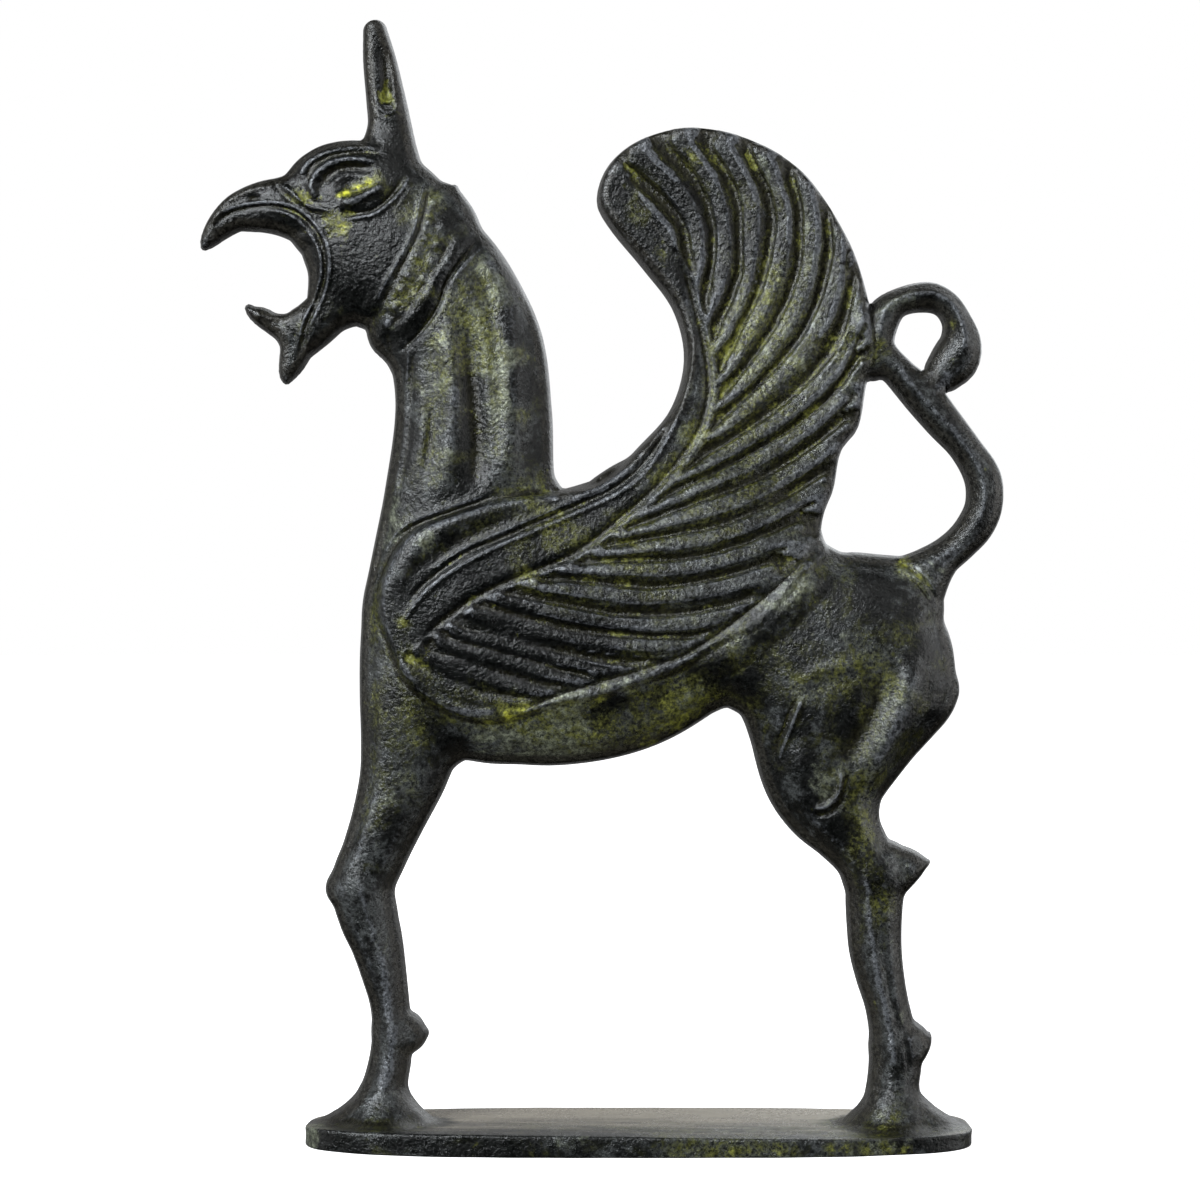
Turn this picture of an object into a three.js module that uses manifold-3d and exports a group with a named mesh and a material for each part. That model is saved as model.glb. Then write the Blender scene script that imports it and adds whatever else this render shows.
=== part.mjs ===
// Griffin statue: a small, flat, two-sided bronze casting on a thin oval plinth, poured as one.
// Units are millimetres, +Z is up and the griffin looks towards -X.
// The origin is under the middle of the plinth, on the surface that the statue stands on.

import * as THREE from 'three';
import Module from 'manifold-3d';

// Driving dimensions of the figure
const FIGURE_HEIGHT = 177;
const FIGURE_THICKNESS = 18;
const EDGE_THICKNESS = 5.6;
const EDGE_ROUNDING = 2;
const EDGE_SQUARENESS = 2.4;
const CROTCH_FILLET = 0.5;
const MUSCLE_BLEND = 1.6;

// Driving dimensions of the wing
const WING_ROOT_THICKNESS = 15;
const WING_TIP_THICKNESS = 7.6;
const WING_TAPER_START = 25;
const WING_TAPER_END = 80;
const WING_EDGE_ROUNDING = 1.6;
const WING_LAYER = 0.7;
const WING_BLEND = 2.5;
const FEATHER_RELIEF = 0.95;
const FEATHER_RIM = [0.3, 1.2];
const FEATHER_ROOM = [0.9, 1.5];

// Driving dimensions of the plinth and of the feet where they run out on it
const PLINTH_DEPTH = 30;
const PLINTH_THICKNESS = 2.6;
const PLINTH_END_MARGIN = 12.4;
const PLINTH_EDGE_SOFTENING = 0.4;
const PLINTH_SQUARENESS = 3.2;
const PLINTH_SEGMENTS = 72;
const FOOT_DEPTH_IN_PLINTH = 1.1;
const FOOT_SPREAD = 0.6;
const FOOT_SPREAD_HEIGHT = 3;

// Fineness of the faceted skin
const OUTLINE_STEP = 0.35;
const OUTLINE_TOLERANCE = 0.075;
const OUTLINE_LONGEST = 3.2;
const RIM_INSETS = [0.4, 1.5];
const BODY_GRID = 3.7;
const HEAD_GRID = 2.1;
const FEATHER_STEP = 3.9;
const GRID_JITTER = 0.05;

// The pose. Places, radii and lines are in thousandths of the figure's height: across from
// the middle of the stance, and up from the plinth. A limb's station holds across, up, the
// limb's radius, and its thickness in hundredths of the figure's thickness.
const SHARE = FIGURE_HEIGHT / 1000;
const HALF_THICKNESS = FIGURE_THICKNESS / 2;
const STANCE = 230.5;

const LIMBS = {
  neck: {
    squareness: 2.3,
    stations: [
      [-208, 780, 63, 75], [-188, 759, 68, 77], [-168, 725, 70, 79], [-154, 692, 70, 80],
      [-149, 639, 71, 82], [-151, 562, 79, 86], [-139, 498, 103, 89], [-122, 456, 128, 91],
    ],
  },
  nape: {
    squareness: 2.2,
    stations: [
      [-193, 799, 52, 68], [-179, 827, 24, 50], [-171, 837, 11, 32], [-167, 844, 5, 18],
    ],
  },
  throat: {
    squareness: 2.2,
    stations: [
      [-193, 752, 56, 71], [-214, 733, 33, 66], [-226, 717, 20, 57], [-229, 708, 14, 50],
      [-225, 700, 11, 46], [-218, 691, 8, 43],
    ],
  },
  foreleg: {
    squareness: 2.3,
    stations: [
      [-121, 454, 129, 93], [-163, 418, 89, 89], [-187, 386, 65, 84], [-204, 350, 47, 77],
      [-213, 314, 39, 71], [-226, 277, 33, 68], [-238, 246, 30, 64], [-249, 216, 29, 61],
      [-244, 187, 27, 59], [-237, 165, 24, 57], [-231, 140, 21, 55], [-225, 110, 18, 55],
      [-223, 85, 18, 57], [-224, 61, 19, 57], [-229, 34, 21, 59], [-231, 11, 29, 66],
      [-231, -14, 34, 71],
    ],
  },
  knee: {
    squareness: 2.2,
    stations: [
      [-250, 215, 29, 59], [-264, 213, 19, 46], [-274, 212, 8, 27], [-280, 212, 3, 14],
    ],
  },
  foreFetlock: {
    squareness: 2.2,
    stations: [
      [-217, 84, 24, 52], [-209, 82, 18, 46], [-201, 82, 11, 36], [-194, 83, 5, 23],
      [-192, 84, 2, 14],
    ],
  },
  trunk: {
    squareness: 2.7,
    stations: [
      [-118, 449, 123, 93], [-75, 445, 121, 95], [-31, 456, 123, 95], [13, 476, 118, 95],
      [48, 492, 120, 95], [96, 466, 91, 95], [148, 437, 87, 96], [185, 412, 99, 98],
    ],
  },
  hindLeg: {
    squareness: 2.4,
    stations: [
      [185, 411, 100, 100], [177, 368, 79, 96], [169, 323, 59, 88], [173, 295, 46, 79],
      [186, 268, 33, 68], [203, 242, 27, 61], [213, 216, 27, 57], [213, 198, 26, 56],
      [213, 180, 25, 55], [214, 159, 24, 54], [218, 135, 22, 54], [224, 110, 20, 54],
      [229, 85, 21, 54], [232, 58, 24, 55], [230, 36, 24, 57], [229, 11, 28, 64],
      [229, -14, 34, 71],
    ],
  },
  buttock: {
    squareness: 2.4,
    stations: [
      [185, 411, 100, 100], [218, 400, 69, 95], [242, 394, 47, 80], [260, 393, 30, 64],
      [276, 391, 14, 39],
    ],
  },
  hock: {
    squareness: 2.2,
    stations: [
      [216, 228, 32, 55], [229, 230, 24, 50], [241, 233, 17, 43], [251, 235, 10, 32],
      [258, 236, 5, 21], [262, 237, 2, 14],
    ],
  },
  hindFetlock: {
    squareness: 2.2,
    stations: [
      [235, 71, 27, 52], [244, 73, 20, 45], [253, 75, 12, 34], [260, 79, 5, 21],
      [264, 81, 2, 14],
    ],
  },
  tailWeb: {
    squareness: 2.2,
    stations: [
      [204, 714, 18, 43], [211, 690, 19, 43],
    ],
  },
  tail: {
    squareness: 2.1,
    stations: [
      [191, 438, 79, 89], [225, 463, 51, 80], [244, 481, 33, 66], [271, 508, 18, 50],
      [290, 524, 16, 46], [304, 540, 17, 45], [312, 559, 17, 45], [311, 584, 17, 45],
      [295, 611, 15, 45], [275, 635, 17, 45], [256, 658, 18, 45], [235, 679, 15, 45],
      [216, 702, 16, 45], [221, 729, 16, 45], [235, 742, 13, 45], [262, 747, 14, 46],
      [278, 740, 13, 48], [288, 724, 14, 50], [291, 705, 19, 52], [286, 691, 22, 50],
      [277, 680, 19, 46],
    ],
  },
  ear: {
    squareness: 2.2,
    stations: [
      [-238, 987, 11, 21], [-234, 961, 15, 29], [-228, 924, 18, 34], [-225, 901, 20, 39],
      [-226, 878, 26, 50], [-231, 849, 39, 64],
    ],
  },
  skull: {
    squareness: 2.4,
    stations: [
      [-208, 783, 71, 75], [-226, 794, 75, 77], [-244, 818, 68, 75], [-266, 830, 58, 71],
      [-283, 831, 45, 64], [-303, 829, 33, 55], [-320, 829, 27, 50], [-335, 829, 24, 45],
      [-349, 827, 21, 38], [-363, 823, 17, 32], [-377, 812, 13, 23], [-388, 799, 8, 14],
      [-392, 793, 4, 9],
    ],
  },
  jaw: {
    squareness: 2.3,
    stations: [
      [-229, 780, 65, 71], [-249, 771, 49, 64], [-266, 752, 33, 54], [-279, 736, 23, 46],
      [-294, 722, 22, 43], [-304, 714, 22, 39], [-308, 703, 16, 30], [-313, 688, 12, 23],
      [-317, 678, 8, 16], [-318, 672, 4, 9],
    ],
  },
  tongue: {
    squareness: 2,
    stations: [
      [-314, 717, 15, 23], [-330, 723, 10, 16], [-340, 729, 9, 14], [-348, 733, 6, 11],
      [-352, 737, 4, 9],
    ],
  },
};

// A foot runs out on the plinth both ways. The first number of each station is a share of the
// plinth's end margin, counted from the foot's axis towards the plinth's end.
const FOOT_RUNOUTS = [
  [[0.14, 13, 21, 54], [0.42, 6, 13, 43], [0.66, 1, 8, 32], [0.84, -3, 6, 21]],
  [[-0.12, 12, 22, 54], [-0.38, 4, 13, 43], [-0.62, -3, 7, 32]],
];

// The wing's edge, once around: up the neck side, over the tip, down the feather ends and back
// along the lower edge to the shoulder.
const WING_EDGE = [
  [-66, 573], [-33, 581], [1, 613], [29, 646], [41, 691], [31, 735], [4, 772], [-27, 810],
  [-38, 833], [-28, 865], [1, 889], [47, 900], [101, 889], [149, 859], [188, 802], [206, 752],
  [212, 707], [205, 663], [198, 628], [183, 608], [176, 573], [168, 553], [165, 533],
  [171, 514], [146, 492], [128, 470], [110, 451], [74, 432], [38, 411], [1, 397], [-35, 385],
  [-71, 378], [-107, 367], [-143, 364], [-179, 376], [-208, 399], [-223, 429], [-234, 456],
  [-234, 483], [-221, 517], [-202, 539], [-161, 554], [-116, 566],
];
const SHOULDER = [-152, 437];

// Key feathers, each from its tip to its root. The feathers between them are worked out.
const FEATHER_COUNT = 19;
const KEY_FEATHERS = {
  0: [[1, 881], [30, 854], [45, 819], [49, 781], [47, 743]],
  3: [[105, 876], [126, 823], [119, 765], [94, 711], [65, 659]],
  6: [[198, 759], [181, 695], [135, 646], [78, 608], [19, 576]],
  7: [[200, 684], [169, 647], [121, 611], [63, 581], [1, 551]],
  9: [[166, 581], [120, 554], [71, 534], [18, 525], [-35, 517]],
  12: [[96, 467], [41, 456], [-16, 455], [-71, 465], [-125, 477]],
  15: [[-17, 413], [-53, 418], [-88, 429], [-124, 438], [-161, 442]],
  18: [[-98, 382], [-127, 385], [-155, 392], [-180, 402], [-207, 415]],
};

// Carved lines: half their width and their rise in millimetres, a groove having a negative
// rise, and their course in thousandths of the figure's height.
const CARVED_LINES = {
  wingCord: {
    halfWidth: 1.5, rise: 1.1,
    course: [
      [-211, 441], [-188, 474], [-152, 510], [-107, 534], [-53, 559], [-17, 582], [12, 610],
      [34, 640], [47, 673], [49, 705],
    ],
  },
  wingLowerEdge: {
    halfWidth: 1.5, rise: 0.8,
    course: [
      [-217, 427], [-205, 400], [-179, 379], [-143, 366], [-107, 369], [-71, 381], [1, 402],
      [74, 432], [112, 454], [135, 479], [162, 505],
    ],
  },
  shoulderEdge: {
    halfWidth: 1.3, rise: 0.6,
    course: [
      [-226, 436], [-232, 458], [-230, 492], [-207, 535], [-152, 554], [-107, 567], [-75, 574],
    ],
  },
  neckFurrow: {
    halfWidth: 2.6, rise: -1.1,
    course: [[-161, 729], [-152, 691], [-149, 637], [-150, 592], [-154, 560]],
  },
  cheekEdge: {
    halfWidth: 1.1, rise: 0.7,
    course: [[-202, 857], [-195, 834], [-199, 804], [-214, 771], [-226, 751], [-235, 733]],
  },
  collar: {
    halfWidth: 1.2, rise: 0.7,
    course: [
      [-149, 795], [-163, 771], [-176, 749], [-183, 725], [-199, 707], [-217, 696],
    ],
  },
  beakRim: {
    halfWidth: 0.9, rise: 0.6,
    course: [
      [-378, 821], [-356, 826], [-329, 827], [-304, 818], [-286, 801], [-278, 783],
      [-278, 763], [-286, 741], [-299, 718], [-306, 700],
    ],
  },
  upperLid: {
    halfWidth: 0.8, rise: 0.6,
    course: [[-288, 854], [-277, 863], [-261, 866], [-241, 862], [-225, 850]],
  },
  lowerLid: {
    halfWidth: 0.8, rise: 0.6,
    course: [[-288, 850], [-270, 834], [-252, 832], [-234, 839], [-224, 848]],
  },
  brow: {
    halfWidth: 1, rise: 0.6,
    course: [[-306, 861], [-290, 874], [-265, 881], [-234, 879], [-211, 867]],
  },
  underEye: {
    halfWidth: 0.9, rise: 0.5,
    course: [[-283, 821], [-265, 814], [-245, 811], [-225, 822], [-212, 839], [-206, 854]],
  },
  haunchCrease: {
    halfWidth: 1.4, rise: -0.7,
    course: [[149, 384], [137, 361], [128, 343], [124, 325]],
  },
  earHollow: {
    halfWidth: 1.8, rise: -1,
    course: [[-235, 976], [-232, 949], [-227, 915]],
  },
};

// Where the skin is finer, from just under the jaw up to the ear's foot
const HEAD_BOX = { left: -395, right: -140, bottom: 665, top: 900 };

const PLINTH_HALF_LENGTH = STANCE * SHARE + PLINTH_END_MARGIN;

function clamp(value, low, high) {
  return Math.min(Math.max(value, low), high);
}

function smoothStep(low, high, value) {
  const share = clamp((value - low) / (high - low), 0, 1);
  return share * share * (3 - 2 * share);
}

function smoothMin(a, b, width) {
  const share = Math.max(width - Math.abs(a - b), 0) / width;
  return Math.min(a, b) - share * share * width / 4;
}

function smoothMax(a, b, width) {
  return -smoothMin(-a, -b, width);
}

// How high a rounded section stands, from 0 on its rim to 1 at its middle
function roundedSection(distanceShare, squareness) {
  const share = clamp(distanceShare, 0, 1);
  return (1 - share ** squareness) ** (1 / squareness);
}

// A smooth curve through rows of numbers that stand at the given knots
function curveAt(rows, knots, at) {
  const last = rows.length - 1;
  let span = 0;
  while (span < last - 1 && at > knots[span + 1]) span += 1;
  const width = knots[span + 1] - knots[span];
  const t = (at - knots[span]) / width;
  const slope = (index, column) => {
    const before = Math.max(index - 1, 0);
    const after = Math.min(index + 1, last);
    return (rows[after][column] - rows[before][column]) / (knots[after] - knots[before]);
  };
  return rows[span].map((start, column) => {
    const end = rows[span + 1][column];
    if (t < 0) return start + slope(0, column) * (at - knots[0]);
    if (t > 1) return end + slope(last, column) * (at - knots[last]);
    const out = slope(span, column) * width;
    const into = slope(span + 1, column) * width;
    return start * (2 * t ** 3 - 3 * t ** 2 + 1) + end * (3 * t ** 2 - 2 * t ** 3)
      + out * (t ** 3 - 2 * t ** 2 + t) + into * (t ** 3 - t ** 2);
  });
}

function chordKnots(rows) {
  const knots = [0];
  for (let i = 1; i < rows.length; i += 1) {
    knots.push(knots[i - 1] + Math.hypot(rows[i][0] - rows[i - 1][0], rows[i][1] - rows[i - 1][1]));
  }
  return knots;
}

// The same curve as a run of points about a step apart
function runCurve(rows, step) {
  const knots = chordKnots(rows);
  const length = knots[knots.length - 1];
  const count = Math.max(2, Math.round(length / step));
  return Array.from({ length: count + 1 }, (_, i) => curveAt(rows, knots, (length * i) / count));
}

function inMillimetres(points) {
  return points.map(([across, up]) => [across * SHARE, up * SHARE]);
}

// Distance from a place to a run of points
function nearestOnRun(run, x, z) {
  let distance = Infinity;
  for (let i = 0; i < run.length - 1; i += 1) {
    const [ax, az] = run[i];
    const dx = run[i + 1][0] - ax;
    const dz = run[i + 1][1] - az;
    const t = clamp(((x - ax) * dx + (z - az) * dz) / (dx * dx + dz * dz), 0, 1);
    distance = Math.min(distance, Math.hypot(x - ax - t * dx, z - az - t * dz));
  }
  return distance;
}

// Limbs: runs of round sections, with a box that holds each and all that blends with it
const LIMB_STEP = 1;
const BLEND_REACH = 2.5 * MUSCLE_BLEND;

function makeLimb({ squareness, stations }) {
  const rows = stations.map(([across, up, radius, thickness]) => [
    across * SHARE, up * SHARE, radius * SHARE, (thickness / 100) * HALF_THICKNESS,
  ]);
  const run = runCurve(rows, LIMB_STEP);
  return {
    run,
    squareness,
    left: Math.min(...run.map((row) => row[0] - row[2])) - BLEND_REACH,
    right: Math.max(...run.map((row) => row[0] + row[2])) + BLEND_REACH,
    bottom: Math.min(...run.map((row) => row[1] - row[2])) - BLEND_REACH,
    top: Math.max(...run.map((row) => row[1] + row[2])) + BLEND_REACH,
  };
}

function footRunouts() {
  const marginInShares = PLINTH_END_MARGIN / SHARE;
  return [-1, 1].flatMap((side) => FOOT_RUNOUTS.map((stations) => makeLimb({
    squareness: 2.2,
    stations: stations.map(([outward, up, radius, thickness]) => [
      side * (STANCE + outward * marginInShares), up, radius, thickness,
    ]),
  })));
}

const limbs = [...Object.values(LIMBS).map(makeLimb), ...footRunouts()];

// How far a place is outside a limb, and how high the limb's surface stands there
function limbAt(limb, x, z) {
  let outside = Infinity;
  let share = Infinity;
  let thickness = 0;
  for (let i = 0; i < limb.run.length - 1; i += 1) {
    const [ax, az, ar, at] = limb.run[i];
    const [bx, bz, br, bt] = limb.run[i + 1];
    const dx = bx - ax;
    const dz = bz - az;
    const t = clamp(((x - ax) * dx + (z - az) * dz) / (dx * dx + dz * dz), 0, 1);
    const distance = Math.hypot(x - ax - t * dx, z - az - t * dz);
    const radius = ar + t * (br - ar);
    outside = Math.min(outside, distance - radius);
    if (distance / radius < share) {
      share = distance / radius;
      thickness = at + t * (bt - at);
    }
  }
  return { outside, rise: thickness * roundedSection(share, limb.squareness) };
}

function nearbyLimbs(x, z) {
  return limbs.filter((limb) => (
    x > limb.left && x < limb.right && z > limb.bottom && z < limb.top
  ));
}

// The wing: a closed edge, its feathers and the grooves between them
const closedWingEdge = [...WING_EDGE.slice(-2), ...WING_EDGE, ...WING_EDGE.slice(0, 2)];
const wingLoop = (() => {
  const rows = inMillimetres(closedWingEdge);
  const knots = chordKnots(rows);
  const start = knots[2];
  const end = knots[knots.length - 2];
  const count = Math.round((end - start) / 1.5);
  return Array.from({ length: count }, (_, i) => (
    curveAt(rows, knots, start + ((end - start) * i) / count)
  ));
})();
const wingRun = [...wingLoop, wingLoop[0]];

function isInside(loop, x, z) {
  let inside = false;
  for (let i = 0, j = loop.length - 1; i < loop.length; j = i, i += 1) {
    const [ax, az] = loop[i];
    const [bx, bz] = loop[j];
    if ((az > z) !== (bz > z) && x < ((bx - ax) * (z - az)) / (bz - az) + ax) inside = !inside;
  }
  return inside;
}

function outsideWing(x, z) {
  const distance = nearestOnRun(wingRun, x, z);
  return isInside(wingLoop, x, z) ? -distance : distance;
}

function featherRun(index, step) {
  const keys = Object.keys(KEY_FEATHERS).map(Number);
  const rows = Object.values(KEY_FEATHERS).map((course) => course.flat());
  const flat = curveAt(rows, keys, index);
  const course = [];
  for (let i = 0; i < flat.length; i += 2) course.push([flat[i], flat[i + 1]]);
  return runCurve(inMillimetres(course), step);
}

// The broad feather at the leading edge comes before the first, so the count starts at -1
const featherIndices = Array.from({ length: FEATHER_COUNT + 1 }, (_, i) => i - 1);
const crestRuns = featherIndices.map((index) => featherRun(index, 2));
const grooveRuns = featherIndices.map((index) => featherRun(index + 0.5, 2));

// Where the feathers crowd together at the shoulder, the facets can't follow them
function featherRelief(x, z, inset) {
  const toCrest = Math.min(...crestRuns.map((run) => nearestOnRun(run, x, z)));
  const toGroove = Math.min(...grooveRuns.map((run) => nearestOnRun(run, x, z)));
  const halfPitch = toCrest + toGroove + 1e-6;
  const section = Math.cos((Math.PI * toCrest) / halfPitch) / 2;
  const room = smoothStep(...FEATHER_ROOM, halfPitch);
  return FEATHER_RELIEF * section * room * smoothStep(...FEATHER_RIM, inset);
}

// Carved lines
const carvedLines = Object.values(CARVED_LINES).map(({ halfWidth, rise, course }) => ({
  halfWidth, rise, run: runCurve(inMillimetres(course), 1.5),
}));

function carvedRise(x, z) {
  return carvedLines.reduce((sum, line) => {
    const share = nearestOnRun(line.run, x, z) / line.halfWidth;
    return share < 1 ? sum + line.rise * (1 - share * share) ** 2 : sum;
  }, 0);
}

// How far a place is outside the figure's outline: negative inside
function outsideFigure(x, z) {
  const union = nearbyLimbs(x, z).reduce((gap, limb) => (
    smoothMin(gap, limbAt(limb, x, z).outside, CROTCH_FILLET)
  ), BLEND_REACH);
  const figure = smoothMin(union, outsideWing(x, z), CROTCH_FILLET);
  return Math.max(figure, -FOOT_DEPTH_IN_PLINTH - z);
}

// How high the surface stands over the middle plane
function surfaceHeight(x, z) {
  const inset = -outsideFigure(x, z);
  const edge = (EDGE_THICKNESS / 2) * roundedSection(1 - inset / EDGE_ROUNDING, EDGE_SQUARENESS);
  const spread = 1 + FOOT_SPREAD * Math.exp(-Math.max(z, 0) / FOOT_SPREAD_HEIGHT);
  const body = nearbyLimbs(x, z).reduce((height, limb) => (
    smoothMax(height, limbAt(limb, x, z).rise * spread, MUSCLE_BLEND)
  ), edge);
  const wingInset = -outsideWing(x, z);
  let height = body;
  if (wingInset > 0) {
    const fromShoulder = Math.hypot(x - SHOULDER[0] * SHARE, z - SHOULDER[1] * SHARE);
    const taper = smoothStep(WING_TAPER_START, WING_TAPER_END, fromShoulder);
    const thickness = WING_ROOT_THICKNESS + taper * (WING_TIP_THICKNESS - WING_ROOT_THICKNESS);
    const wing = (thickness / 2) * roundedSection(1 - wingInset / WING_EDGE_ROUNDING, EDGE_SQUARENESS);
    height = smoothMax(body, wing, WING_BLEND) + WING_LAYER * smoothStep(0, 1, wingInset)
      + featherRelief(x, z, wingInset);
  }
  return height + carvedRise(x, z) * smoothStep(0, EDGE_ROUNDING, inset);
}

// The outline: walk along it from a start, then keep only the points that its shape needs
function slopeAt(x, z) {
  const reach = 0.02;
  const sx = outsideFigure(x + reach, z) - outsideFigure(x - reach, z);
  const sz = outsideFigure(x, z + reach) - outsideFigure(x, z - reach);
  const length = Math.hypot(sx, sz) || 1;
  return [sx / length, sz / length];
}

function ontoOutline([x, z]) {
  let place = [x, z];
  for (let pass = 0; pass < 4; pass += 1) {
    const gap = outsideFigure(...place);
    if (Math.abs(gap) < 1e-4) break;
    const [sx, sz] = slopeAt(...place);
    place = [place[0] - gap * sx, place[1] - gap * sz];
  }
  return place;
}

function walkOutline(start) {
  const first = ontoOutline(start);
  const loop = [first];
  let place = first;
  const most = 20000;
  while (loop.length < most) {
    const [sx, sz] = slopeAt(...place);
    place = ontoOutline([place[0] - sz * OUTLINE_STEP, place[1] + sx * OUTLINE_STEP]);
    const back = Math.hypot(place[0] - first[0], place[1] - first[1]);
    if (loop.length > 8 && back < OUTLINE_STEP * 0.8) break;
    loop.push(place);
  }
  return loop;
}

function findEdge(from, [stepX, stepZ]) {
  let [x, z] = from;
  const startsInside = outsideFigure(x, z) < 0;
  while ((outsideFigure(x, z) < 0) === startsInside) {
    x += stepX;
    z += stepZ;
  }
  return [x, z];
}

function thinRun(run) {
  const [ax, az] = run[0];
  const [bx, bz] = run[run.length - 1];
  let worst = 0;
  let split = Math.floor(run.length / 2);
  run.forEach(([x, z], i) => {
    const distance = nearestOnRun([[ax, az], [bx, bz]], x, z);
    if (distance > worst) {
      worst = distance;
      split = i;
    }
  });
  if (run.length < 3) return [run[0]];
  const isFlat = worst < OUTLINE_TOLERANCE;
  if (isFlat && Math.hypot(bx - ax, bz - az) < OUTLINE_LONGEST) return [run[0]];
  if (isFlat) split = Math.floor(run.length / 2);
  return [...thinRun(run.slice(0, split + 1)), ...thinRun(run.slice(split))];
}

function thinLoop(loop) {
  const half = Math.floor(loop.length / 2);
  return [...thinRun(loop.slice(0, half + 1)), ...thinRun([...loop.slice(half), loop[0]])];
}

// Places to start the walks: over the ear, in the gap between wing and tail, and in the eye
// of the tail's curl
const ABOVE_EAR = [-236, 1010];
const TAIL_GAP = [230, 590];
const CURL_EYE = [252, 710];

function traceOutline() {
  const down = [0, -0.5];
  const left = [-0.5, 0];
  const [ear, gap, eye] = inMillimetres([ABOVE_EAR, TAIL_GAP, CURL_EYE]);
  return [findEdge(ear, down), findEdge(gap, left), findEdge(eye, left)]
    .map((start) => thinLoop(walkOutline(start)));
}

// Points inside the outline, each kept only where there is room for it
function makePlaces(loops) {
  const cell = 1;
  const cells = new Map();
  const places = [];
  const keyOf = (x, z) => `${Math.floor(x / cell)},${Math.floor(z / cell)}`;
  const isFree = (x, z, room) => {
    const reach = Math.ceil(room / cell);
    for (let i = -reach; i <= reach; i += 1) {
      for (let k = -reach; k <= reach; k += 1) {
        const near = cells.get(keyOf(x + i * cell, z + k * cell)) || [];
        if (near.some(([px, pz]) => Math.hypot(px - x, pz - z) < room)) return false;
      }
    }
    return true;
  };
  const note = (x, z) => {
    const key = keyOf(x, z);
    cells.set(key, [...(cells.get(key) || []), [x, z]]);
  };
  const add = (x, z, room, inset) => {
    if (outsideFigure(x, z) > -inset || !isFree(x, z, room)) return;
    note(x, z);
    places.push([x, z]);
  };
  loops.flat().forEach(([x, z]) => note(x, z));
  RIM_INSETS.forEach((inset, row) => {
    loops.flat().forEach(([x, z]) => {
      const [sx, sz] = slopeAt(x, z);
      add(x - sx * inset, z - sz * inset, row === 0 ? inset * 0.9 : inset * 0.6, inset * 0.8);
    });
  });
  [[crestRuns, grooveRuns], [grooveRuns, crestRuns]].forEach(([runs, others]) => {
    runs.forEach((run) => {
      runCurve(run, FEATHER_STEP).forEach(([x, z]) => {
        const halfPitch = Math.min(...others.map((other) => nearestOnRun(other, x, z)));
        if (outsideWing(x, z) > -0.6 || halfPitch < FEATHER_ROOM[0]) return;
        add(x, z, 0.85 * halfPitch, 0.9);
      });
    });
  });
  carvedLines.forEach(({ run, halfWidth }) => {
    const rows = runCurve(run, Math.max(1.9, 1.8 * halfWidth));
    rows.forEach(([x, z]) => add(x, z, 0.7, 0.9));
    rows.forEach(([x, z], i) => {
      const [nx, nz] = rows[Math.min(i + 1, rows.length - 1)];
      const [px, pz] = rows[Math.max(i - 1, 0)];
      const length = Math.hypot(nx - px, nz - pz);
      const side = [-(nz - pz) / length, (nx - px) / length];
      add(x + side[0] * halfWidth, z + side[1] * halfWidth, 0.95, 0.9);
      add(x - side[0] * halfWidth, z - side[1] * halfWidth, 0.95, 0.9);
    });
  });
  const inHead = (x, z) => x > HEAD_BOX.left * SHARE && x < HEAD_BOX.right * SHARE
    && z > HEAD_BOX.bottom * SHARE && z < HEAD_BOX.top * SHARE;
  [[HEAD_GRID, inHead], [BODY_GRID, () => true]].forEach(([grid, wanted]) => {
    let row = 0;
    const reach = 0.42 * FIGURE_HEIGHT;
    for (let z = 0; z < 1.02 * FIGURE_HEIGHT; z += grid * 0.866) {
      row += 1;
      for (let x = -reach; x < reach; x += grid) {
        const shift = row % 2 ? grid / 2 : 0;
        const jitter = GRID_JITTER * Math.sin(17 * x + 29 * z);
        if (wanted(x, z)) add(x + shift + jitter, z - jitter, grid * 0.72, 1.1);
      }
    }
  });
  return places;
}

// Delaunay triangles by Bowyer and Watson's method
function makeTriangle(points, a, b, c) {
  const [ax, az] = points[a];
  const [bx, bz] = [points[b][0] - ax, points[b][1] - az];
  const [cx, cz] = [points[c][0] - ax, points[c][1] - az];
  const area = 2 * (bx * cz - bz * cx);
  const ux = (cz * (bx * bx + bz * bz) - bz * (cx * cx + cz * cz)) / area;
  const uz = (bx * (cx * cx + cz * cz) - cx * (bx * bx + bz * bz)) / area;
  return { corners: [a, b, c], x: ax + ux, z: az + uz, reach: ux * ux + uz * uz };
}

function triangulate(places) {
  const far = 20 * FIGURE_HEIGHT;
  const count = places.length;
  const points = [...places, [-far, -far], [far, -far], [0, far]];
  let triangles = [makeTriangle(points, count, count + 1, count + 2)];
  for (let i = 0; i < count; i += 1) {
    const [x, z] = points[i];
    const rim = new Map();
    const kept = [];
    triangles.forEach((triangle) => {
      if ((x - triangle.x) ** 2 + (z - triangle.z) ** 2 >= triangle.reach) {
        kept.push(triangle);
        return;
      }
      const [a, b, c] = triangle.corners;
      [[a, b], [b, c], [c, a]].forEach(([from, to]) => {
        if (!rim.delete(`${to},${from}`)) rim.set(`${from},${to}`, [from, to]);
      });
    });
    triangles = kept;
    rim.forEach(([from, to]) => triangles.push(makeTriangle(points, from, to, i)));
  }
  return triangles.map((triangle) => triangle.corners)
    .filter((corners) => corners.every((corner) => corner < count));
}

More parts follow.
